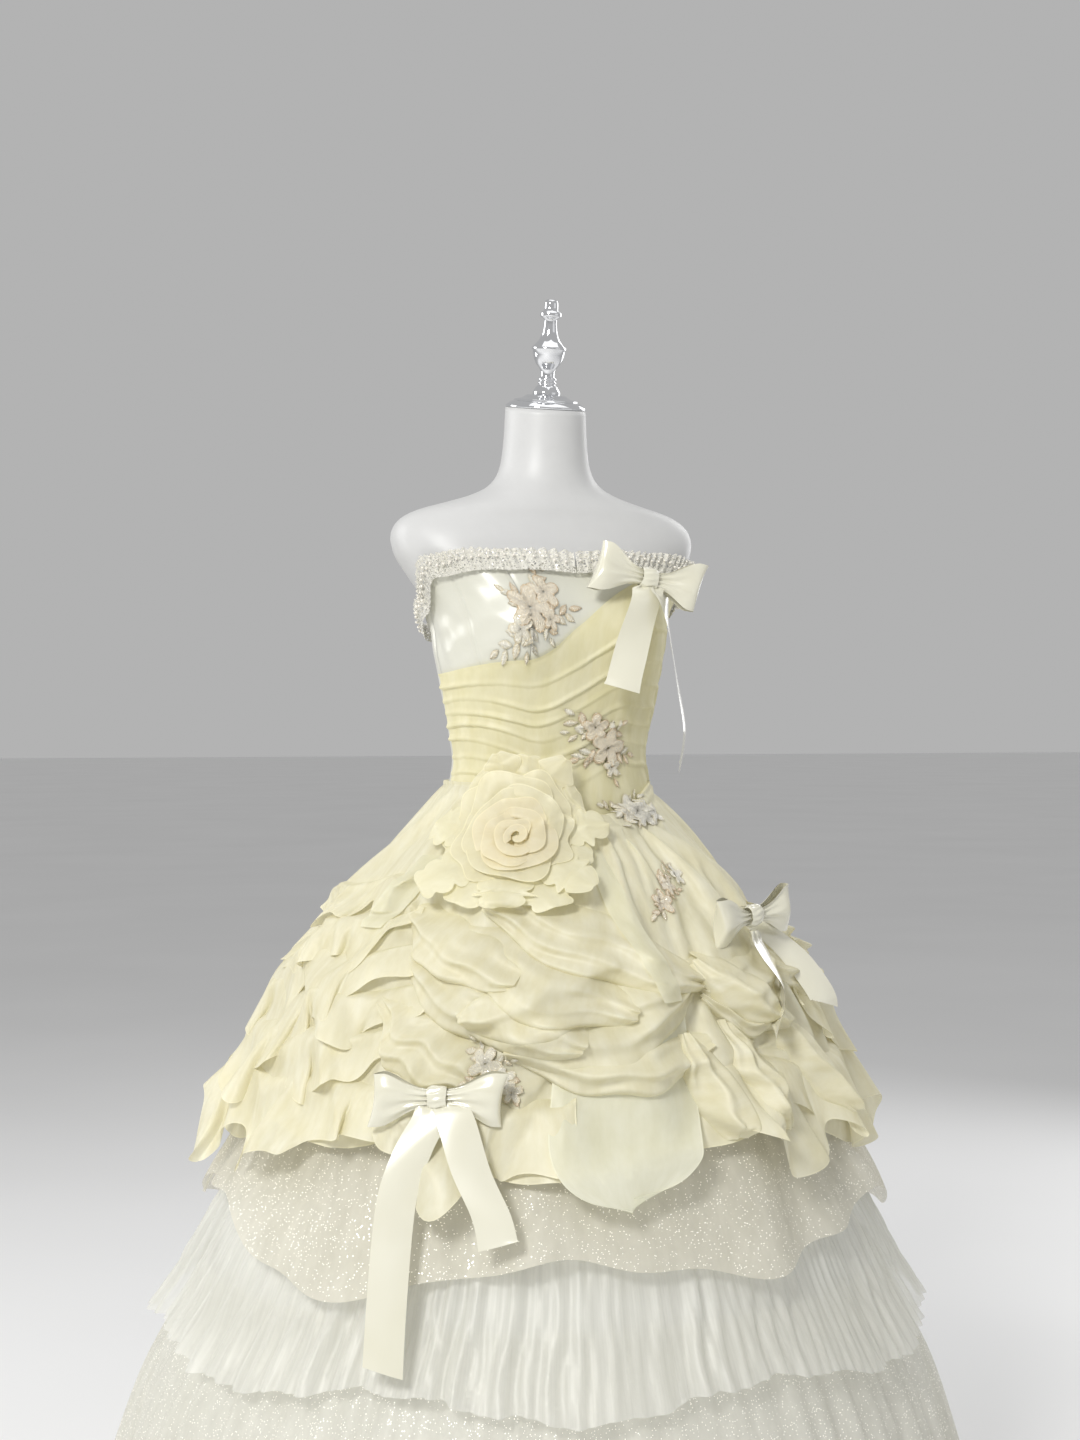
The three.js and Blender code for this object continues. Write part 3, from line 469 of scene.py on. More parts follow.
def make_form():
    bands = [(1512, 1420, 14), (1416, 1340, 22), (1330, 1130, 30), (1120, 790, 22)]
    heights = np.concatenate([np.linspace(top, foot, count) for top, foot, count in bands])
    u, _ = mesh_grid(2, 128, True)
    phi, z = np.meshgrid(-360 * u[0], heights)
    points = skin(phi, z)
    share = smooth((z - 1430) / 82)
    points[..., 2] += (points[..., 1] - along(FORM, "lean", z)) * math.tan(NECK_SLOPE) * share
    caps = []
    for end in (points[:1], points[-1:]):
        middle = end.mean(1, keepdims=True)
        caps.append([middle + (end - middle) * k for k in (0.02, 0.5, 0.97)])
    full = np.concatenate(caps[0] + [points] + caps[1][::-1], 0)
    body = grid("form_torso_skin", full, LOOK["skin"], True)
    part(body, "form_skin", "form_torso")


CAP = [(0.1, 0), (50, 0), (51, 1), (51, 2.5), (49.5, 4), (45, 7.5), (42, 8.5), (41, 9), (40.8, 10.5),
       (39.5, 11.2), (32, 12.6), (27.5, 15), (25.2, 16.6), (24, 17), (0.1, 17)]
FINIAL = [(0.1, 0), (17.2, 0), (17.5, 0.6), (17.5, 3.4), (17, 4.4), (14, 9.6), (12, 11.8), (9.8, 12.8),
          (11.2, 13.6), (12, 15), (11.2, 16.4), (9.8, 17.2), (11.2, 18), (12, 19.5), (11.2, 21), (9.2, 22),
          (8.8, 24), (9, 30), (11.5, 34), (15, 38), (18, 43.5), (20, 50), (20.4, 55.4), (21.8, 56.6),
          (22, 58), (21.8, 59.4), (20.4, 60.6), (17.5, 63.5), (13.5, 68), (10.8, 74), (9, 81), (8.2, 88),
          (8, 92), (8.4, 94.4), (12.6, 97), (13.5, 98.2), (13.5, 101.8), (12.6, 103), (9, 105), (8.8, 110),
          (8.6, 114), (7.6, 117.4), (5.4, 118.8), (0.1, 119)]


def turned(name, profile, seat, node):
    """A chrome piece turned about the neck's own axis from a profile of radii and heights."""
    r, h = np.array(profile, float).T
    u, _ = mesh_grid(2, 64, True)
    angle = TAU * u[0]
    x = r[:, None] * cos(angle)
    y = r[:, None] * sin(angle)
    z = np.broadcast_to(h[:, None], x.shape)
    c, s = math.cos(NECK_SLOPE), math.sin(NECK_SLOPE)
    points = np.stack([x, y * c - z * s, y * s + z * c], -1) + np.array(seat)
    part(grid(name, points[::-1], LOOK["chrome"], True), "chrome", node)


def make_finial():
    axis = np.array([0, -math.sin(NECK_SLOPE), math.cos(NECK_SLOPE)])
    seat = np.array([0, 6, 1512]) + axis * 0.3
    turned("neck_cap_chrome", CAP, seat, "neck_cap")
    turned("finial_chrome", FINIAL, seat + axis * 17.3, "finial")
    for node in ("form_base", "form_pole"):
        mesh = frame["nodes"][node].data
        mesh.materials.clear()
        mesh.materials.append(LOOK["stand"])


# ---- Bodice ----

PANELS = [("bodice_centre_front", -24, 24), ("bodice_side_front_left", 24, 90), ("bodice_back_left", 90, 178),
          ("bodice_placket", 178, 182), ("bodice_back_right", 182, 270),
          ("bodice_side_front_right", 270, 336)]


def make_bodice():
    for name, start, stop in PANELS:
        cols = max(6, int((stop - start) * 1.3))
        u, v = mesh_grid(64, cols)
        phi = mix(start + 0.12, stop - 0.12, u)
        z = mix(neckline_z(phi), bodice_foot_z(phi), v)
        pull = 0.9 * sin(phi * 0.35 + z / 17) * hill(abs(u - 0.5) - 0.5, 0.3) + 0.5 * sin(z / 9 + phi / 7)
        cup = hill(abs(wrap(phi)) - 55, 26) * hill(z - 1222, 42)
        wrinkles = sin(z / 7 + phi / 3.1) * sin(phi / 5 - z / 23) + 0.7 * sin(z / 5.2 - phi / 4.3)
        pull = pull + 1.5 * cup * wrinkles
        seam = -1.3 * (hill(u * (stop - start), 1.4) + hill((1 - u) * (stop - start), 1.4))
        roll = 1.6 * hill(v * 270, 5)
        seam = seam - 1.4 * hill(abs(wrap(phi)) - 51 - 5 * sin((z - 1180) / 40), 1.0)
        obj = grid(name + "_satin", on_form(phi, z, PANEL_OUT - 0.4 + pull * 0.6 + seam + roll),
                   LOOK["bodice"])
        cloth(obj, [name], "satin", "stretched")


# The wrap's pleats: the height of each fold's edge at the right side seam and at the left one.
PLEATS = [(0, 0), (19, 66), (38, 104), (52, 132), (68, 158), (86, 184), (106, 208), (130, 232)]


def make_drape():
    rows, cols = 128, 150
    u, v = mesh_grid(rows, cols)
    phi = mix(-89, 89, u)
    top, foot = drape_top_z(phi), bodice_foot_z(phi) + 1
    z = mix(top, foot, v)
    below = top - z
    fan = smooth((phi + 80) / 130)
    lift = np.zeros_like(z)
    edges = [mix(a, b, fan) for a, b in PLEATS[1:]] + [top - foot + 8]
    start = np.zeros_like(z)
    for k, stop in enumerate(edges):
        wobble = 1.8 * sin(phi / (15 + 3 * k) + 2.1 * k)
        stop = stop + wobble * (k < len(edges) - 1)
        share = (below - start) / np.maximum(stop - start, 4)
        inside = (share >= 0) & (share < 1)
        share = np.clip(share, 0, 1)
        depth = np.maximum(stop - start, 4)
        fold = 3.0 * hill((1 - share) * depth - 3, 3.2) + 0.7 * share
        lift = np.where(inside, fold * (0.65 + 0.35 * sin(phi / 19 + 1.7 * k)), lift)
        start = stop
    drag = 0.8 * sin(phi * 0.22 + below / 21) + 0.5 * sin(phi * 0.5 - below / 11 + 1)
    lip = 1.5 * hill(below, 3)
    obj = grid("bodice_drape_pleats", on_form(phi, z, DRAPE_OUT + lift + drag * 0.6 + lip - 0.5),
               LOOK["drape"])
    cloth(obj, ["bodice_drape"], "pleated_organza", "gathered")


def make_frill():
    for name, start, stop in (("neckline_frill_right", 182, 359.9), ("neckline_frill_left", 0.1, 178)):
        u, v = mesh_grid(14, 640)
        phi = mix(start, stop, u)
        crimp = sin(TAU * (54 * u + 0.4 * sin(TAU * 7 * u))) * (0.8 + 0.3 * waves(u, 31, 5, 19, 4))
        scallop = 2.2 * abs(sin(TAU * 27 * u))
        z = neckline_z(phi) + mix(13 + scallop, -11, v) + 1.2 * sin(phi / 5)
        out = DRAPE_OUT + 4.6 + mix(2.6, 0.7, v) * crimp + mix(2.2, 0, v)
        obj = grid(name + "_lace", on_form(phi, z, out), LOOK["lace"])
        cloth(obj, [name], "lace", "gathered")


# ---- The skirt's hanging layers ----


SIDES = ["front", "left", "back", "right"]
HALVES = ["front", "back"]


def solids_of(name, parts):
    return [name + "_" + part_name for part_name in parts]


def layer(name, nodes, table, top, foot, material, slot, rows, cols, folds, flare=0.0):
    """A gathered ring: folds(u, v) is how far its folds stand out, u round it and v down it."""
    u, v = mesh_grid(rows, cols, True)
    phi = 360 * u
    z = mix(top(phi), foot(phi), v)
    radius = along(table, "r", z) + folds(u, v) + flare * smooth((v - 0.75) / 0.25)
    points = skirt(phi, z, radius, PANEL_OUT)
    obj = grid(name, points, material, True, edges="b")
    return cloth(obj, nodes, slot, "gathered")


def glitter_foot(phi):
    return 520 + 26 * cos(5 * (phi + 18) * DEG) + 16 * sin(3 * phi * DEG) + 5 * sin(17 * phi * DEG)


def tulle_foot(phi):
    return 386 + 12 * sin(7 * phi * DEG) + 3 * sin(31 * phi * DEG)


def even(z):
    return lambda phi: z + 0 * phi


def make_layers():
    layer("underskirt_satin", solids_of("underskirt", SIDES), UNDERSKIRT,
          lambda phi: bodice_foot_z(phi) - 6, even(10),
          LOOK["underskirt"], "satin", 40, 240,
          lambda u, v: (2 + 5 * v) * waves(u, 3, 14, 40, 5) - 4)
    layer("bottom_tier_tulle", solids_of("bottom_tier", HALVES), BOTTOM_TIER, even(455), even(12),
          LOOK["pale_glitter"], "glitter_tulle", 28, 720,
          lambda u, v: 1 + (2 + 8 * v) * waves(u, 5, 30, 90, 6) + 2 * v * waves(u, 6, 110, 170, 4))
    layer("tulle_tier_gathers", solids_of("tulle_tier", HALVES), TULLE_TIER, even(605), tulle_foot,
          LOOK["tulle"], "tulle", 26, 960,
          lambda u, v: (1.2 + 5 * v ** 0.8) * waves(u + 0.002 * sin(9 * v), 8, 50, 120, 8)
          + 1.4 * waves(u + 0.001 * sin(14 * v), 9, 150, 240, 6) + 4 * v * waves(u, 10, 12, 30, 4), 6)
    layer("glitter_tier_tulle", solids_of("glitter_tier", HALVES), GLITTER_TIER, even(780), glitter_foot,
          LOOK["glitter"], "glitter_tulle", 30, 480,
          lambda u, v: (2 + 7 * v) * waves(u + 0.01 * v, 11, 9, 30, 5) + 3 * sin(9 * v + TAU * 6 * u), 4)


# ---- Cloth that settles ----


def settle(obj, held, walls, frames, mass, bend, grow=None, tension=15, friction=8, gap=3.0):
    """Lets a cloth fall and fold over the walls, held at the given points, and keeps the result.

    grow holds each point's share of the fullness, from 0 for little to 1 for 40% more cloth.
    """
    for wall in walls:
        wall.modifiers.new("wall", "COLLISION")
        wall.collision.thickness_outer = 0.002
        wall.collision.thickness_inner = 0.02
        wall.collision.cloth_friction = friction
    group = obj.vertex_groups.new(name="held")
    group.add([int(i) for i in held], 1.0, "REPLACE")
    modifier = obj.modifiers.new("drape", "CLOTH")
    rules = modifier.settings
    rules.quality = 5
    rules.mass = mass
    rules.tension_stiffness = rules.compression_stiffness = tension
    rules.shear_stiffness = 5
    rules.bending_stiffness = bend
    if grow is not None:
        fullness = obj.vertex_groups.new(name="fullness")
        for i, weight in enumerate(grow):
            fullness.add([i], float(weight), "REPLACE")
        rules.vertex_group_shrink = "fullness"
        rules.shrink_min, rules.shrink_max = -0.08, -0.4
    rules.vertex_group_mass = "held"
    modifier.collision_settings.distance_min = gap * MM
    modifier.point_cache.frame_start, modifier.point_cache.frame_end = 1, frames
    scene = bpy.context.scene
    scene.frame_start, scene.frame_end = 1, frames
    for number in range(1, frames + 1):
        scene.frame_set(number)
    settled = obj.evaluated_get(bpy.context.evaluated_depsgraph_get())
    places = np.empty(len(obj.data.vertices) * 3, np.float32)
    settled.data.vertices.foreach_get("co", places)
    obj.modifiers.remove(modifier)
    obj.vertex_groups.clear()
    obj.data.vertices.foreach_set("co", places)
    obj.data.update()
    for wall in walls:
        wall.modifiers.remove(wall.modifiers["wall"])
    scene.frame_set(1)


# Where the overskirt is caught up, as an angle and a height.
TACKS = [(-58, 889), (-42, 817), (-36, 735), (-17, 722), (-27, 866), (16, 813), (43, 846), (26, 732),
         (64, 770), (84, 880), (104, 800), (88, 722), (126, 735), (134, 875), (156, 800), (182, 885),
         (182, 742), (208, 805), (-132, 885), (-120, 800), (-98, 880), (-84, 800), (-74, 722), (-112, 730),
         (158, 722), (212, 725)]


def tack_distance(phi, z):
    """How far a place on the overskirt is from the nearest point where it is caught up."""
    radius = along(OVERSKIRT, "r", z)
    near = np.full(np.broadcast(phi, z).shape, 1e9)
    for tack_phi, tack_z in TACKS:
        near = np.minimum(near, np.hypot(wrap(phi - tack_phi) * DEG * radius, z - tack_z))
    return near


def inner_bell():
    """The layers under the overskirt, as one smooth wall for it to lie on."""
    phi, z = np.meshgrid(np.linspace(0, 360, 120, endpoint=False), np.linspace(1045, 470, 48))
    radius = along(OVERSKIRT, "r", z) - 10 - 8 * (z < 640)
    return grid("inner_bell", skirt(phi, z, radius, HIP_OUT - 4), LOOK["petal"], True)


def make_overskirt():
    rows, cols = 66, 288
    u, v = mesh_grid(rows, cols, True)
    phi = 360 * u
    top = bodice_foot_z(phi) + 5
    foot = 648 + 14 * sin(5 * phi * DEG) + 8 * cos(9 * phi * DEG)
    z = mix(top, foot, v)
    near = tack_distance(phi, z)
    rough = np.random.default_rng(4).normal(0, 0.6, z.shape)
    puff = 16 - 26 * hill(near, 30) + 3 * sin(11 * phi * DEG + z / 60)
    puff = puff + 2 * sin(17 * phi * DEG - z / 45) + rough
    seam = smooth((top + 2 - z) / 28)
    points = skirt(phi, z, along(OVERSKIRT, "r", z) + smooth((top - z) / 60) * puff, HIP_OUT - 0.9, seam)
    obj = grid("overskirt_organza", points, LOOK["organza"], True, edges="b")
    held = list(range(cols)) + np.nonzero(near.ravel() < 7)[0].tolist()
    wall = inner_bell()
    settle(obj, held, [wall], 34, 0.03, 7, grow=smooth((935 - z) / 80).ravel())
    bpy.data.objects.remove(wall)
    return obj


class Surface:
    """The finished cloth, to seat other pieces on."""

    def __init__(self, objects):
        self.trees = []
        for obj in objects:
            self.add(obj)

    def add(self, obj):
        faces = [list(p.vertices) for p in obj.data.polygons]
        self.trees.append(BVHTree.FromPolygons([v.co.copy() for v in obj.data.vertices], faces))

    def height(self, phi, z):
        """How far the cloth's outer face stands out from the cover face there, in millimetres."""
        base = cover(phi, z, 0)
        normal = unit(cover(phi, z, 1) - base)
        result = np.full(base.shape[:-1], NOTHING)
        for i in np.ndindex(result.shape):
            origin, inwards = Vector((base[i] + normal[i] * RAY_OUT) * MM), Vector(-normal[i])
            for tree in self.trees:
                hit = tree.ray_cast(origin, inwards, RAY_LONG)
                if hit[0] is not None:
                    result[i] = max(result[i], RAY_OUT - hit[3] / MM)
        return np.where(result == NOTHING, 0, result)

    def seat(self, phi, z, out, soft=3):
        """Points over the cloth by a height, with the cloth's own dents bridged."""
        h = self.height(phi, z)
        rows, cols = h.shape
        for _ in range(soft):
            padded = np.pad(h, 1, mode="edge")
            around = [padded[a:a + rows, b:b + cols] for a in range(3) for b in range(3)]
            h = np.maximum(h, np.mean(around, 0))
        return cover(phi, z, h + out)


# Gathered flounces: the angles they run between, the height of their seams, their drop, how much
# higher their left end is, and how far apart their gathers are.
FLOUNCES = {
    "flounce_right_upper": [(-130, -60, 922, 62, 34, 58), (-132, -53, 882, 70, 34, 62)],
    "flounce_right_middle": [(-130, -48, 846, 76, 28, 68), (-132, -45, 806, 80, 22, 74)],
    "flounce_right_lower": [(-130, -46, 764, 86, 18, 78), (-128, -43, 712, 94, 8, 84)],
    "flounce_left_lower": [(44, 112, 800, 96, -18, 84), (26, 122, 722, 108, -8, 90)],
    "flounce_back": [(128, 228, 862, 80, 6, 66), (130, 226, 786, 88, -8, 72), (126, 230, 708, 96, 4, 82)],
}
# Free hems of the overskirt itself, in the same columns.
SWAGS = [(10, 50, 728, 104, -8, 80), (-47, -13, 698, 88, 12, 84)]
# Its caught-up puffs: the angle and height where each starts and stops, its width, how far its middle
# hangs under the line between them, how far it stands out, and how many folds run along it.
PUFFS = [(-24, 748, 14, 752, 60, 20, 14, 2), (9, 765, 14, 650, 56, 0, 12, 2),
         (20, 775, 25, 655, 62, 0, 15, 3), (33, 780, 42, 660, 60, 0, 12, 2),
         (-54, 800, -30, 712, 84, 8, 16, 3), (14, 815, -26, 752, 84, 6, 18, 3),
         (-50, 856, -12, 760, 92, 8, 20, 3), (15, 808, 42, 822, 66, 34, 16, 3),
         (38, 834, 72, 818, 60, 20, 6, 2), (-4, 838, -34, 778, 78, 2, 18, 2),
         (13, 832, 43, 852, 54, 26, 14, 2), (-40, 872, -2, 790, 80, 4, 20, 3),
         (-56, 892, -24, 828, 66, 4, 16, 2), (-34, 908, 16, 816, 78, -4, 22, 3),
         (16, 842, 30, 770, 58, 0, 14, 2), (64, 885, 104, 850, 70, 26, 14, 3),
         (100, 890, 136, 880, 66, 28, 14, 3), (134, 890, 183, 896, 70, 30, 15, 3),
         (181, 896, 230, 890, 70, 30, 15, 3), (70, 838, 124, 832, 66, 28, 13, 3)]


def make_puff(spec, seed, surface):
    """Cloth caught up between two places: it hangs in the middle and its folds run from end to end."""
    start_phi, start_z, stop_phi, stop_z, wide, sag, out, folds = spec
    per_degree = DEG * float(along(OVERSKIRT, "r", (start_z + stop_z) / 2))
    run, rise = (stop_phi - start_phi) * per_degree, stop_z - start_z
    length = math.hypot(run, rise)
    u, v = mesh_grid(19, int(length / 6) + 8)
    ends = sin(pi * mix(0.03, 0.97, u)) ** 0.7
    across = (v - 0.5 + 0.06 * waves(u, seed + 300, 1, 3, 2)) * wide * mix(0.2, 1, ends)
    phi = mix(start_phi, stop_phi, u) + across * rise / length / per_degree
    z = mix(start_z, stop_z, u) - 4 * sag * u * (1 - u) - across * run / length
    shape = sin(pi * v ** 1.25) ** 0.6
    line = folds * v ** 1.2 + 0.16 * sin(TAU * 0.7 * u + seed)
    line = line + 0.12 * sin(TAU * 1.6 * u * (v + 0.6) + 2 * seed)
    ridges = (0.5 + 0.5 * cos(TAU * line)) ** 1.5
    crumple = 2.2 * waves(0.7 * u + 0.4 * v, seed + 310, 2, 6, 4) * shape
    height = -8 + (9 + out * ends) * shape + 13 * ridges * shape * mix(0.6, 1, ends) + crumple
    return grid("puff", surface.seat(phi, z, height, 5), LOOK["organza"])


STRIP_ROWS = 15
STRIP_ROWS_HELD = 3


def flounce_strip(name, spec, seed, surface):
    start, stop, height, drop, tilt, pitch = spec
    spread = 0.30 - 0.16 * float(smooth((height - 840) / 70))
    rng = np.random.default_rng(seed)
    length = (stop - start) * DEG * float(along(OVERSKIRT, "r", height))
    u, v = mesh_grid(STRIP_ROWS, int(length / 4))
    ends = np.clip(sin(pi * np.clip(u, 0, 1)), 0, 1) ** 0.6
    phase = TAU * (length / pitch * (u + 0.07 * waves(u, seed + 1, 1, 4, 3))) + rng.uniform(0, TAU)
    phi = mix(start, stop, u) + pitch * 0.03 * v * sin(phase + 1.2)
    drop = drop * (1 + 0.22 * waves(u, seed + 7, 2, 7, 3))
    z = height + tilt * (u - 0.5) + 5 * waves(u, seed, 1, 5, 3) - drop * 0.9 * v * mix(0.3, 1, ends)
    size = 0.36 * pitch * (0.7 + 0.3 * waves(u, seed + 2, 2, 6, 3)) * mix(0.3, 1, ends)
    out = mix(-9, 3, smooth(v * 6)) + drop * spread * v * mix(0.4, 1, ends)
    out = out + size * v ** 0.8 * (1 + cos(phase)) * 0.5
    return grid(name, surface.seat(phi, z, out, 6), LOOK["organza"], edges="blr")


def settle_strips(specs, seed, name, surface, overskirt):
    """Makes strips in one object and lets them hang from their hidden top edges."""
    strips = [flounce_strip(name, spec, seed + 3 * j, surface) for j, spec in enumerate(specs)]
    held, shift = [], 0
    for strip in strips:
        count = len(strip.data.vertices)
        held += list(range(shift, shift + STRIP_ROWS_HELD * (count // STRIP_ROWS)))
        shift += count
    piece = join(strips, name)
    settle(piece, held, [overskirt], 14, 0.02, 6, tension=20, friction=20)
    return piece


def make_flounces(overskirt):
    surface = Surface([overskirt])
    for k, (name, specs) in enumerate(FLOUNCES.items()):
        piece = settle_strips(specs, 20 * k, name + "_organza", surface, overskirt)
        subdivide(piece)
        cloth(piece, [name], "organza", "gathered")
    swags = settle_strips(SWAGS, 200, "swags", surface, overskirt)
    petal = make_petal(surface)
    over = Surface([overskirt, petal, swags, bpy.data.objects["flounce_left_lower_organza"]])
    puffs = []
    for k, spec in enumerate(PUFFS):
        puffs.append(make_puff(spec, k, over))
        over.add(puffs[-1])
    whole = join([overskirt, swags], "overskirt_organza")
    subdivide(whole)
    cloth(whole, solids_of("overskirt", SIDES), "organza", "gathered")
    caught = join(puffs, "overskirt_puffs_organza")
    subdivide(caught)
    return cloth(caught, [], "organza", "gathered")


def make_petal(surface):
    """The smooth front flap that shows the satin under it."""
    u, v = mesh_grid(40, 44)
    side = 2 * u - 1
    half = 0.5 * (150 + 46 * v) * np.sqrt(np.clip(1 - np.clip((v - 0.6) / 0.4, 0, 1) ** 2.4, 0.0004, 1))
    x = side * half
    z = 806 - 212 * v - 6 * cos(2.2 * side) * v + 6 * side * v
    phi = -3 + x / (along(OVERSKIRT, "r", z) * DEG) * 0.97 - 3 * v
    out = mix(-8, 4, smooth(v * 7)) + 7 * v ** 2 + 3 * sin(2.4 * side + 3.2 * v) * (0.3 + v)
    out = out + 4 * abs(side) ** 3 * v
    flat = surface.seat(phi, z, out, 14)
    petal = grid("flounce_front_petal", flat, LOOK["flap"], edges="blr")
    subdivide(petal)
    return cloth(petal, ["flounce_front"], "organza", "hung")


# ---- Things sewn on ----


def frame_at(place, at):
    """A frame standing on the gown at a point: its side, up and out directions."""
    facing, tilt, turn = place["facing"] * DEG, place["tilt"] * DEG, place["turn"] * DEG
    side = np.array([math.cos(facing), math.sin(facing), 0])
    level = np.array([math.sin(facing), -math.cos(facing), 0])
    out = level * math.cos(tilt) + np.cross(side, level) * math.sin(tilt)
    up = np.cross(out, side)
    spun_side = side * math.cos(turn) + up * math.sin(turn)
    spun_up = up * math.cos(turn) - side * math.sin(turn)
    return at, spun_side, spun_up, out


def in_frame(frame_axes, x, y, z):
    at, side, up, out = frame_axes
    x, y, z = np.broadcast_arrays(x, y, z)
    return at + x[..., None] * side + y[..., None] * up + z[..., None] * out


BOW_COLUMNS = ["name", "phi", "z", "lift", "facing", "tilt", "turn", "width"]
BOWS = [dict(zip(BOW_COLUMNS, row)) for row in [
    ("bow_bust", 25, 1285, 27, 2, 0, -11, 144),
    ("bow_hip", 35.5, 895, 39, 27, 14, 6, 132),
    ("bow_skirt", -36.5, 709, 26, -24, 8, 1, 148),
]]


def make_bow(bow, seed):
    place = cover(bow["phi"], bow["z"], 0)
    out = frame_at(bow, place)[3]
    axes = frame_at(bow, place + out * bow["lift"])
    for hand, sign in (("right", -1), ("left", 1)):
        u, v = mesh_grid(17, 49)
        w = 2 * v - 1
        turn = pi * u
        outward = sin(turn)
        front = cos(turn)
        crimp = (1 - outward) ** 2
        slant = 5 * w * sign * (1 if seed % 2 else -1) - 4 * (1 - w * w)
        reach = mix(8, bow["width"] / 2, outward ** 0.8) + slant * outward ** 2
        half = mix(9, 30, smooth(outward * 1.25))
        pinched = sin(TAU * (1.7 * w + 0.13 * seed)) * 2.6 * crimp
        pleat = pinched + sin(TAU * (0.9 * w + 0.3 * seed)) * 2.4 * outward * (1 - outward) * 2
        puff = (10 * outward * (1 - w * w) + 2.5 * sin(3 * w + seed)) * np.sign(front) * abs(front) ** 0.5
        depth = 11 * front * mix(0.35, 1, outward) + puff * mix(0.2, 1, outward) + pleat
        y = -w * half + 3 * sin(2.2 * outward + seed) * outward
        node = "%s_loop_%s" % (bow["name"], hand)
        loop = grid(node + "_satin", in_frame(axes, sign * reach, y, depth), LOOK["ribbon"])
        subdivide(loop)
        cloth(loop, [node], "satin_ribbon", "folded")
    u, v = mesh_grid(26, 56, True)
    around = TAU * u
    gather = 0.9 * sin(11 * around + 3 * v + seed) * sin(pi * v)
    bulge = 1 + 0.16 * sin(pi * v)
    knot = in_frame(axes, (v - 0.5) * 21 * (1 + 0.04 * sin(3 * around)),
                    (11.5 * bulge + gather + 0.7 * sin(9 * v + 2 * around)) * cos(around),
                    (9.5 * bulge + gather) * sin(around))
    piece = grid(bow["name"] + "_knot_satin", knot, LOOK["ribbon"], True)
    cloth(piece, [bow["name"] + "_knot"], "satin_ribbon", "folded")


TAIL_WIDE = 43
TAILS = {
    "bow_bust_tail_short": [(85, -133, 1283, 2), (77, -143, 1262, 2), (62, -144, 1214, -2),
                            (47, -140, 1155, -6)],
    "bow_bust_tail_long": [(94, -131, 1281, 20), (103, -136, 1262, 44), (110, -144, 1215, 64),
                           (120, -146, 1154, 72), (127, -142, 1105, 74), (122, -136, 1059, 66)],
    "bow_hip_tail_long": [(172, -214, 894, 26), (186, -208, 880, 24), (240, -206, 837, 18),
                          (268, -219, 796, 12), (276, -229, 775, 10)],
    "bow_hip_tail_short": [(172, -244, 868, 50), (184, -259, 838, 64), (192, -281, 801, 70),
                           (163, -326, 760, 66)],
    "bow_skirt_tail_long": [(-238, -309, 702, -18), (-242, -317, 688, -19), (-265, -320, 651, -22),
                            (-285, -326, 599, -22), (-300, -345, 509, -24), (-310, -362, 427, -24)],
    "bow_skirt_tail_short": [(-228, -315, 702, -22), (-221, -329, 688, -22), (-211, -357, 633, -20),
                             (-196, -381, 589, -18), (-190, -389, 558, -18)],
}


def smooth_rows(rows, share):
    """Reads rows of numbers along a smooth curve through them, at shares from 0 to 1."""
    table = np.asarray(rows, float)
    k = np.clip(share, 0, 1) * (len(table) - 1)
    i = np.minimum(k.astype(int), len(table) - 2)
    t = (k - i)[..., None]
    p0, p1, p2 = table[np.maximum(i - 1, 0)], table[i], table[i + 1]
    p3 = table[np.minimum(i + 2, len(table) - 1)]
    linear = 2 * p1 + (p2 - p0) * t
    return 0.5 * (linear + (2 * p0 - 5 * p1 + 4 * p2 - p3) * t ** 2 + (3 * p1 - p0 - 3 * p2 + p3) * t ** 3)


def make_tail(name, path, seed):
    u, v = mesh_grid(70, 15)
    row = smooth_rows(path, v)
    turn = row[..., 3] * DEG + 0.10 * sin(5 * v + seed)
    w = 2 * u - 1
    half = TAIL_WIDE * mix(0.24, 0.5, smooth(7 * v))
    sideways = np.stack([cos(turn), sin(turn), 0 * turn], -1)
    ahead = np.stack([sin(turn), -cos(turn), 0 * turn], -1)
    fold = 5 * (1 - smooth(5 * v)) * cos(2.4 * pi * w)
    bow = 1.8 * cos(pi * w / 2) + 2.2 * sin(7 * v + 1.3 * seed + 0.8 * w) * smooth(3 * v) + fold
    points = row[..., :3] + sideways * (w * half)[..., None] + ahead * bow[..., None]
    points[..., 2] += 6 * w * smooth((v - 0.9) / 0.1) * (1 if seed % 2 else -1)
    tail = grid(name + "_satin", points, LOOK["ribbon"])
    cloth(tail, [name], "satin_ribbon", "hung")


ROSETTE = {"phi": -29, "z": 984, "round": 165}


def on_rosette(surface, x, y, height):
    """Places x and y across the rosette and a height over the cloth; it keeps clear of the folds."""
    phi, z = ROSETTE["phi"] + x / (ROSETTE["round"] * DEG), ROSETTE["z"] + y
    folds = surface.height(phi, z)
    for _ in range(3):
        folds[1:-1, 1:-1] = (folds[:-2, 1:-1] + folds[2:, 1:-1] + folds[1:-1, :-2] + folds[1:-1, 2:]) / 4
    lift = np.clip(folds, 0, 40) * smooth(np.hypot(x, y) / 60) + 3
    return cover(phi, z, height + lift)


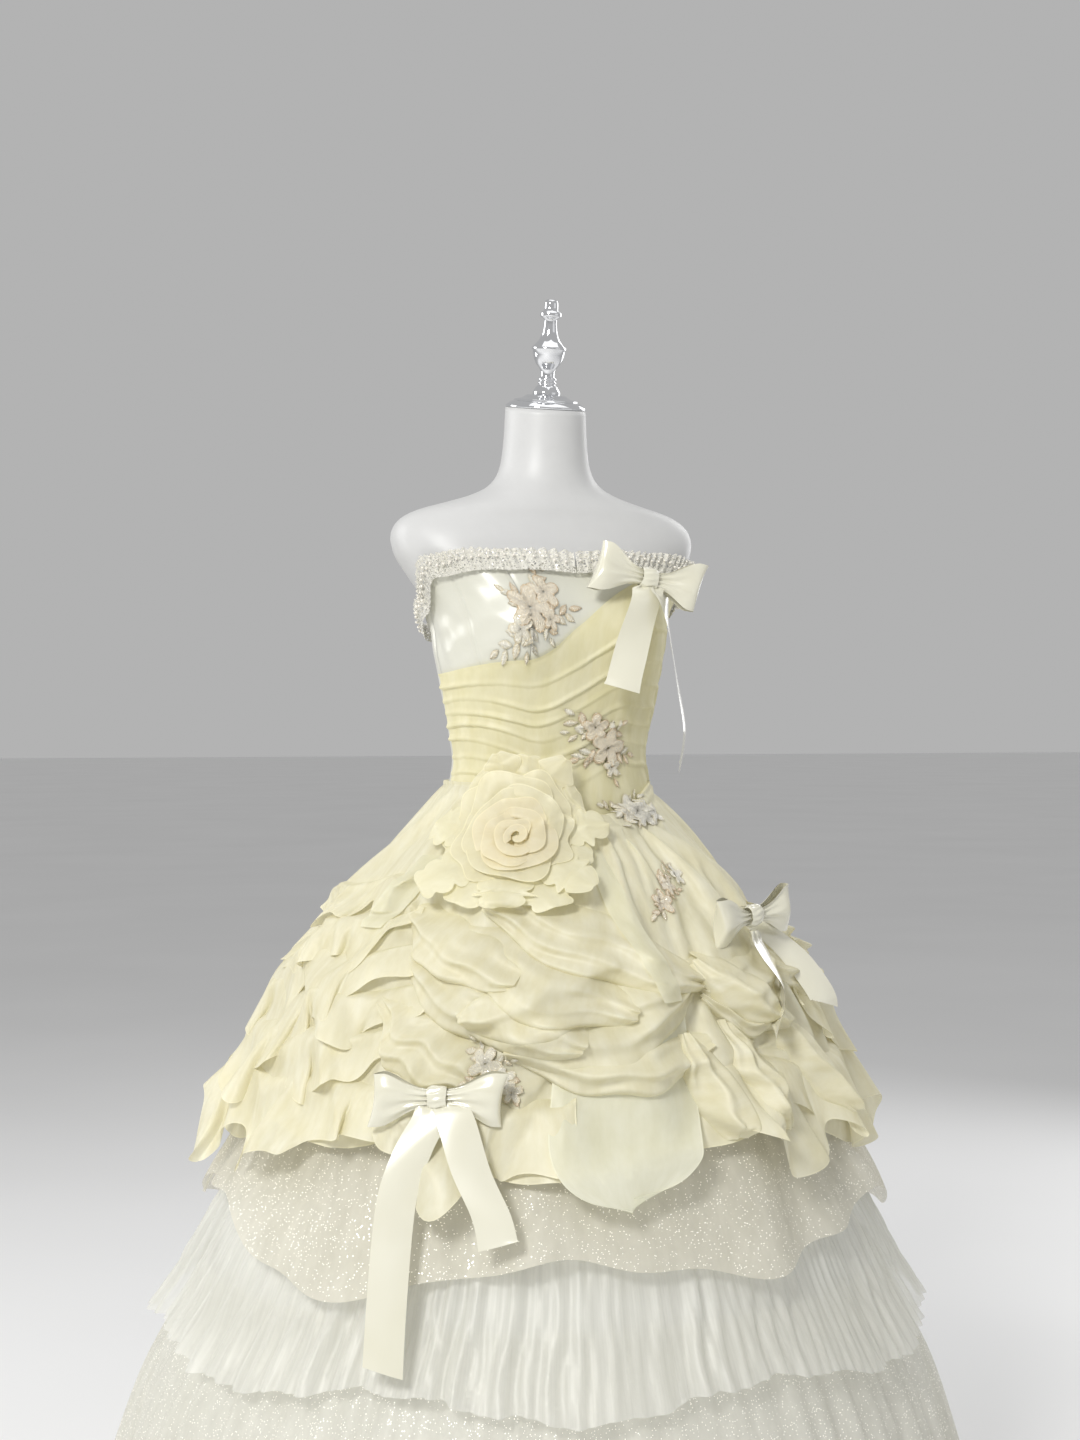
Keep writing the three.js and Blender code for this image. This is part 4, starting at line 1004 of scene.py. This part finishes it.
def rose_petal(surface, around, span, inner, reach, low, high, curl, seed):
    """A petal wrapped round the rose's middle: u runs round it and v from its root to its rim."""
    u, v = mesh_grid(16, 34)
    w = 2 * u - 1
    a = around + w * span / 2
    rim = 1 + 0.10 * waves(u, seed, 1, 4, 3) - (0.10 + reach / 280) * abs(w) ** 3
    rim = rim + 0.14 * smooth((reach - 25) / 30) * cos(a - 2.2)
    r = inner + (reach * rim - inner) * v ** 0.8 + 4.5 * w
    r = r + curl * smooth((v - 0.8) / 0.2) - 4 * hill(v - 0.6, 0.25)
    h = low + (high - low) * sin(np.clip(v * 1.7, 0, pi / 2)) * (1 - 0.25 * w * w)
    h = h + 0.2 * r * sin(a) + 8 - 0.4 * curl * smooth((v - 0.74) / 0.26) ** 2
    h = h + 0.8 * waves(u, seed + 1, 2, 6, 3) * v
    heart = 1 - reach / 64
    return on_rosette(surface, r * cos(a) + 8 * heart, r * sin(a) - 7 * heart, h)


def lobed_leaf(surface, around, start, length, wide, lobes, low, high, seed, material):
    """A leaf with round lobes along both of its sides: v runs from its root to its tip."""
    u, v = mesh_grid(33, 12)
    w = 2 * u - 1
    lobe = 0.66 + 0.34 * abs(sin(pi * lobes * v)) ** 0.6
    half = wide / 2 * sin(pi * mix(0.12, 0.93, v ** 1.2)) ** 0.7 * lobe
    across = half * w * (1 + 0.08 * waves(v, seed + 5, 1, 3, 2))
    outwards = start + length * v + 0.3 * half * abs(w) + 5 * waves(v, seed + 6, 1, 2, 2) * v
    rib = 1.6 * hill(w, 0.2) + 1.2 * cos(TAU * lobes * v) * w * w
    h = low + (high - low) * sin(1.9 * v) + rib + 2.2 * waves(v, seed, 1, 3, 2) * v - 4 * w * w * v
    x = outwards * math.cos(around) - across * math.sin(around)
    y = outwards * math.sin(around) + across * math.cos(around)
    return grid("leaf", on_rosette(surface, x, y, h), LOOK[material], edges="blr")


# The rose's rings of petals: the solid each belongs to, how many, how far they reach, the angle
# each takes up, where it starts from, its lowest and highest place, its curl and its turn.
ROSE_RINGS = [
    ("rosette_outer_petals", 3, 60, 2.3, 24, 2, 15, 10, 0.5),
    ("rosette_outer_petals", 3, 51, 2.5, 20, 5, 24, 9, 1.5),
    ("rosette_inner_petals", 3, 42, 2.7, 15, 7, 32, 7, 0.4),
    ("rosette_inner_petals", 2, 33, 3.6, 11, 10, 38, 6, 1.9),
    ("rosette_bud", 2, 25, 3.8, 7, 14, 43, 4, 0.5),
    ("rosette_bud", 1, 17, 6.0, 5, 20, 46, 2, 2.6),
    ("rosette_bud", 1, 9, 6.6, 1, 30, 47, 1, 0.7),
]
LEAF_ANGLES = [152, 178, 200, 222, 246, 270, 294, 318, 340, 4]
CROWN_ANGLES = [30, 54, 82, 108, 132]


def make_rosette(surface):
    parts = {}
    for k, (node, count, reach, span, inner, low, high, curl, start) in enumerate(ROSE_RINGS):
        for j in range(count):
            turn = start + TAU * j / count + 0.15 * math.sin(7 * j + k)
            rim, top = reach * (1 + 0.06 * math.sin(3 * j + k)), high + 2 * math.sin(5 * j)
            petal = rose_petal(surface, turn, span, inner, rim, low, top, curl, 10 * k + j)
            material = LOOK["rose_heart" if reach < 40 else "petal"]
            parts.setdefault(node, []).append(grid("petal", petal, material, edges="b"))
    leaves = []
    for k, angle in enumerate(LEAF_ANGLES):
        outer = k % 2
        start, length = 26 + 6 * outer, 54 + 9 * math.sin(2.3 * k)
        low, high = 4 + 3 * outer, 13 + 9 * outer
        leaf = (start, length, 46, 4, low, high, 40 + k, "leaf")
        leaves.append(lobed_leaf(surface, angle * DEG, *leaf))
    for k, angle in enumerate(CROWN_ANGLES):
        outer = k % 2
        leaf = (24, 66 + 12 * outer, 58, 2, 4, 22 + 5 * outer, 70 + k, "petal")
        leaves.append(lobed_leaf(surface, angle * DEG, *leaf))
    parts["rosette_leaves"] = leaves
    for node, objects in parts.items():
        piece = join(objects, node + "_organza")
        subdivide(piece)
        cloth(piece, [node], "organza", "folded")


STREAMERS = {
    "streamer_front": {"wide": 27, "from": (-2, 962), "to": (5.5, 801), "lift": 3},
    "streamer_right": {"wide": 34, "from": (-59, 955), "to": (-66, 873), "lift": 3},
}


def make_streamers(surface):
    for name, strip in STREAMERS.items():
        u, v = mesh_grid(46, 11)
        z = mix(strip["from"][1], strip["to"][1], v)
        across = (u - 0.5) * strip["wide"] / (along(OVERSKIRT, "r", z) * DEG)
        fold = 1.6 * abs(2 * u - 1) ** 2
        points = surface.seat(mix(strip["from"][0], strip["to"][0], v) + across, z, strip["lift"] - fold, 8)
        obj = grid(name + "_organza", points, LOOK["streamer"], edges="lr")
        subdivide(obj)
        cloth(obj, [name], "organza", "folded")


# ---- Embroidered sprays ----

# The flat size, place and turn of each, its flowers (place, size, thread), and its stems of leaves
# (start, end, how far it bows, how many leaves, how long they are, and their threads in turn).
SPRAYS = {
    "spray_bust": {
        "wide": 146, "tall": 84, "phi": -25, "z": 1238, "turn": 24,
        "flowers": [(12, 8, 26, "bronze"), (43, 15, 19, "bronze"), (-16, -6, 15, "cream"),
                    (30, -14, 13, "bronze")],
        "stems": [(-8, -4, -66, -16, 8, 6, 25, "ssc"), (6, 16, -4, 40, -6, 4, 20, "cbs"),
                  (34, -6, 68, -16, -6, 5, 20, "bc"), (40, 22, 66, 38, 5, 4, 18, "sbb"),
                  (-4, -10, -20, -38, 5, 4, 19, "sc"), (14, -12, 20, -36, 4, 4, 18, "bs")]},
    "spray_waist": {
        "wide": 112, "tall": 84, "phi": 15, "z": 1090, "turn": -42,
        "flowers": [(12, 2, 24, "bronze"), (-20, 8, 17, "bronze"), (34, -12, 13, "cream")],
        "stems": [(-26, 6, -54, 2, 6, 4, 20, "sbc"), (20, 8, 50, 24, -4, 5, 20, "bbs"),
                  (22, -12, 52, -22, 4, 4, 18, "bcs"), (-2, -12, -10, -38, 4, 5, 20, "bs"),
                  (0, 16, 6, 38, -4, 4, 18, "sb"), (-22, 0, -42, -20, 4, 4, 16, "cs")]},
    "spray_hip": {
        "wide": 80, "tall": 40, "phi": 29, "z": 1004, "turn": 2,
        "flowers": [(4, 0, 19, "silver"), (26, -3, 14, "silver"), (-14, -2, 11, "cream")],
        "stems": [(-8, 3, -38, 10, 4, 5, 18, "sc"), (10, 8, 34, 16, 3, 4, 14, "s"),
                  (-6, -8, -28, -14, 3, 3, 14, "cs")]},
    "spray_side": {
        "wide": 86, "tall": 46, "phi": 19, "z": 916, "turn": 24,
        "flowers": [(-20, -4, 13, "bronze"), (6, 4, 12, "bronze"), (34, 2, 11, "silver")],
        "stems": [(-16, 0, -46, -12, 6, 5, 16, "cb"), (-4, 4, 44, 12, 5, 8, 14, "bcb"),
                  (-10, -6, 22, -10, 3, 5, 12, "b")]},
    "spray_skirt": {
        "wide": 84, "tall": 52, "phi": -28, "z": 728, "turn": -30,
        "flowers": [(-12, 4, 18, "cream"), (14, 0, 14, "silver"), (30, -6, 12, "cream")],
        "stems": [(-16, 8, -40, 14, 4, 4, 18, "cs"), (4, 2, 40, -12, 6, 6, 18, "csb"),
                  (0, 10, 14, 24, 3, 3, 14, "sc"), (-8, -8, -20, -24, 3, 3, 16, "cb")]},
}
THREADS = {"b": "bronze", "s": "silver", "c": "cream"}


def motif(kind, size, rows=9, cols=34):
    """A flower's or leaf's own shape: x, y and its height over the cloth."""
    u, v = mesh_grid(rows, cols, kind == "flower")
    if kind == "flower":
        a = TAU * u
        petal = 0.42 + 0.58 * abs(cos(2.5 * a)) ** 0.7
        r = size * mix(0.06, petal, v)
        height = 1.2 + 1.8 * sin(2.6 * v) + 0.5 * cos(30 * a) * v
        return r * cos(a), r * sin(a), height
    side = 2 * u - 1
    width = 0.25 * size * sin(pi * np.clip(v, 0.02, 0.98)) ** 0.8 * (1 + 0.10 * sin(26 * v))
    return size * v, width * side, 1.0 + 1.2 * (1 - abs(side)) + 0.3 * cos(20 * v)


def make_spray(name, spray, surface):
    a_degree = cover(spray["phi"] + 1, spray["z"], 0) - cover(spray["phi"], spray["z"], 0)
    around = float(np.linalg.norm(a_degree))
    turn = spray["turn"] * DEG
    motifs = [("flower", x0, y0, size, 0.7 * x0, thread) for x0, y0, size, thread in spray["flowers"]]
    for x0, y0, x1, y1, bow, count, size, threads in spray["stems"]:
        heading, length = math.atan2(y1 - y0, x1 - x0), math.hypot(x1 - x0, y1 - y0)
        for k in range(count):
            t = k / (count - 1)
            aside = 4 * bow * t * (1 - t)
            lean = 0.0 if k == count - 1 else 0.75 * (-1) ** k
            motifs.append(("leaf", mix(x0, x1, 0.8 * t) - aside * (y1 - y0) / length,
                           mix(y0, y1, 0.8 * t) + aside * (x1 - x0) / length, size * (1 - 0.25 * t) * 0.85,
                           heading + lean, THREADS[threads[k % len(threads)]]))
    objects = []
    for kind, x0, y0, size, angle, thread in motifs:
        x, y, height = motif(kind, 1.12 * size)
        mx = x0 + x * math.cos(angle) - y * math.sin(angle)
        my = y0 + x * math.sin(angle) + y * math.cos(angle)
        phi = spray["phi"] + (mx * math.cos(turn) - my * math.sin(turn)) / around
        z = spray["z"] + mx * math.sin(turn) + my * math.cos(turn)
        points = surface.seat(phi, z, height + 0.6, 1)
        objects.append(grid("motif", points, LOOK[thread], kind == "flower",
                            "b" if kind == "flower" else "lr"))
    piece = join(objects, name + "_lace")
    cloth(piece, [name], "lace", "laid", flat=(spray["wide"] * MM, spray["tall"] * MM))


def make_beads():
    """Small pearl beads along the lace frill."""
    mesh = bmesh.new()
    rng = np.random.default_rng(12)
    spots = []
    for phi in np.arange(-176, 177, 3.4):
        drop = rng.uniform(2, 8)
        for aside, rise, out, radius in ((0, 8, 9.5, 1.7), (1.5, 14, 9, 1.2)):
            out = DRAPE_OUT + out + rng.uniform(-1, 1)
            spots.append((on_form(phi + aside, neckline_z(phi) + rise - drop, out), radius))
    for place, radius in spots:
        ball = bmesh.ops.create_icosphere(mesh, subdivisions=2, radius=radius * MM)
        bmesh.ops.translate(mesh, verts=ball["verts"], vec=Vector(np.asarray(place) * MM))
    for face in mesh.faces:
        face.smooth = True
    data = bpy.data.meshes.new("frill_beads")
    mesh.to_mesh(data)
    mesh.free()
    data.materials.append(LOOK["pearl"])
    part(shown("frill_beads", data), "lace")


# ---- Stage ----


WHITE = (1, 1, 1)
# Each light's place, the height it points at, its size, power and colour.
LIGHTS = {
    "key": ((-2.5, -2.8, 3.1), 0.9, (0.9, 0.9), 112, (1, 0.995, 0.975)),
    "fill": ((2.6, -2.6, 1.6), 0.9, (2.2, 2.2), 5, WHITE),
    "top": ((0.2, -0.2, 3.6), 1.0, (2.0, 2.0), 10, WHITE),
    "rim_left": ((-2.6, 1.8, 2.0), 1.0, (1.4, 2.4), 30, WHITE),
    "rim_right": ((2.6, 1.8, 2.2), 1.0, (1.4, 2.4), 30, WHITE),
}
ROOM = (0.45, 0.45, 0.45, 1)
FLOOR_REACH = 60


def light(name, place, aim, size, power, color):
    data = bpy.data.lights.new(name, "AREA")
    data.shape, data.size, data.size_y = "RECTANGLE", size[0], size[1]
    data.energy, data.color = power, color
    obj = shown(name, data)
    obj.location = place
    obj.rotation_euler = (Vector((0, 0, aim)) - Vector(place)).to_track_quat("-Z", "Y").to_euler()


CAMERA = {"azimuth": -19, "distance": 2.65, "height": 1.117, "aside": -0.0089, "lens": 52.28}


def make_stage():
    mesh = bpy.data.meshes.new("floor")
    r = FLOOR_REACH
    mesh.from_pydata([(-r, -r, 0), (r, -r, 0), (r, r, 0), (-r, r, 0)], [], [(0, 1, 2, 3)])
    n = Nodes("floor")
    coord = n.add("TexCoord").outputs["Object"]
    tone = n.ramp(noise(n, coord, 0.8, 2), [(0.3, (0.84, 0.84, 0.84)), (0.7, (0.87, 0.87, 0.87))])
    mesh.materials.append(n.finish(n.add("BsdfPrincipled", Base_Color=tone, Roughness=0.8)))
    shown("floor", mesh)
    a = CAMERA["azimuth"] * DEG
    data = bpy.data.cameras.new("camera")
    data.sensor_width, data.lens, data.clip_end = 36, CAMERA["lens"], 100
    camera = shown("camera", data)
    to_camera = Vector((math.sin(a), -math.cos(a), 0))
    right = Vector((math.cos(a), math.sin(a), 0))
    camera.location = (to_camera * CAMERA["distance"] + right * CAMERA["aside"]
                       + Vector((0, 0, CAMERA["height"])))
    camera.rotation_euler = (-to_camera).to_track_quat("-Z", "Y").to_euler()
    bpy.context.scene.camera = camera
    for name, row in LIGHTS.items():
        light(name, *row)
    world = bpy.data.worlds.new("world")
    world.use_nodes = True
    world.node_tree.nodes["Background"].inputs["Color"].default_value = ROOM
    bpy.context.scene.world = world
    bpy.context.scene.view_settings.view_transform = "Standard"


make_form()
make_finial()
make_bodice()
make_drape()
make_frill()
make_layers()
overskirt = make_overskirt()
puffs = make_flounces(overskirt)
pieces = bpy.data.objects
bodice = [o for o in pieces if o.name.startswith("bodice_") and o.name.endswith(("satin", "pleats"))]
surface = Surface(bodice + [overskirt, puffs])
make_rosette(surface)
surface.add(pieces["flounce_right_upper_organza"])
make_streamers(surface)
for number, bow in enumerate(BOWS):
    make_bow(bow, number)
for number, (tail, path) in enumerate(TAILS.items()):
    make_tail(tail, path, number)
for spray_name, spray in SPRAYS.items():
    make_spray(spray_name, spray, surface)
make_beads()
make_stage()
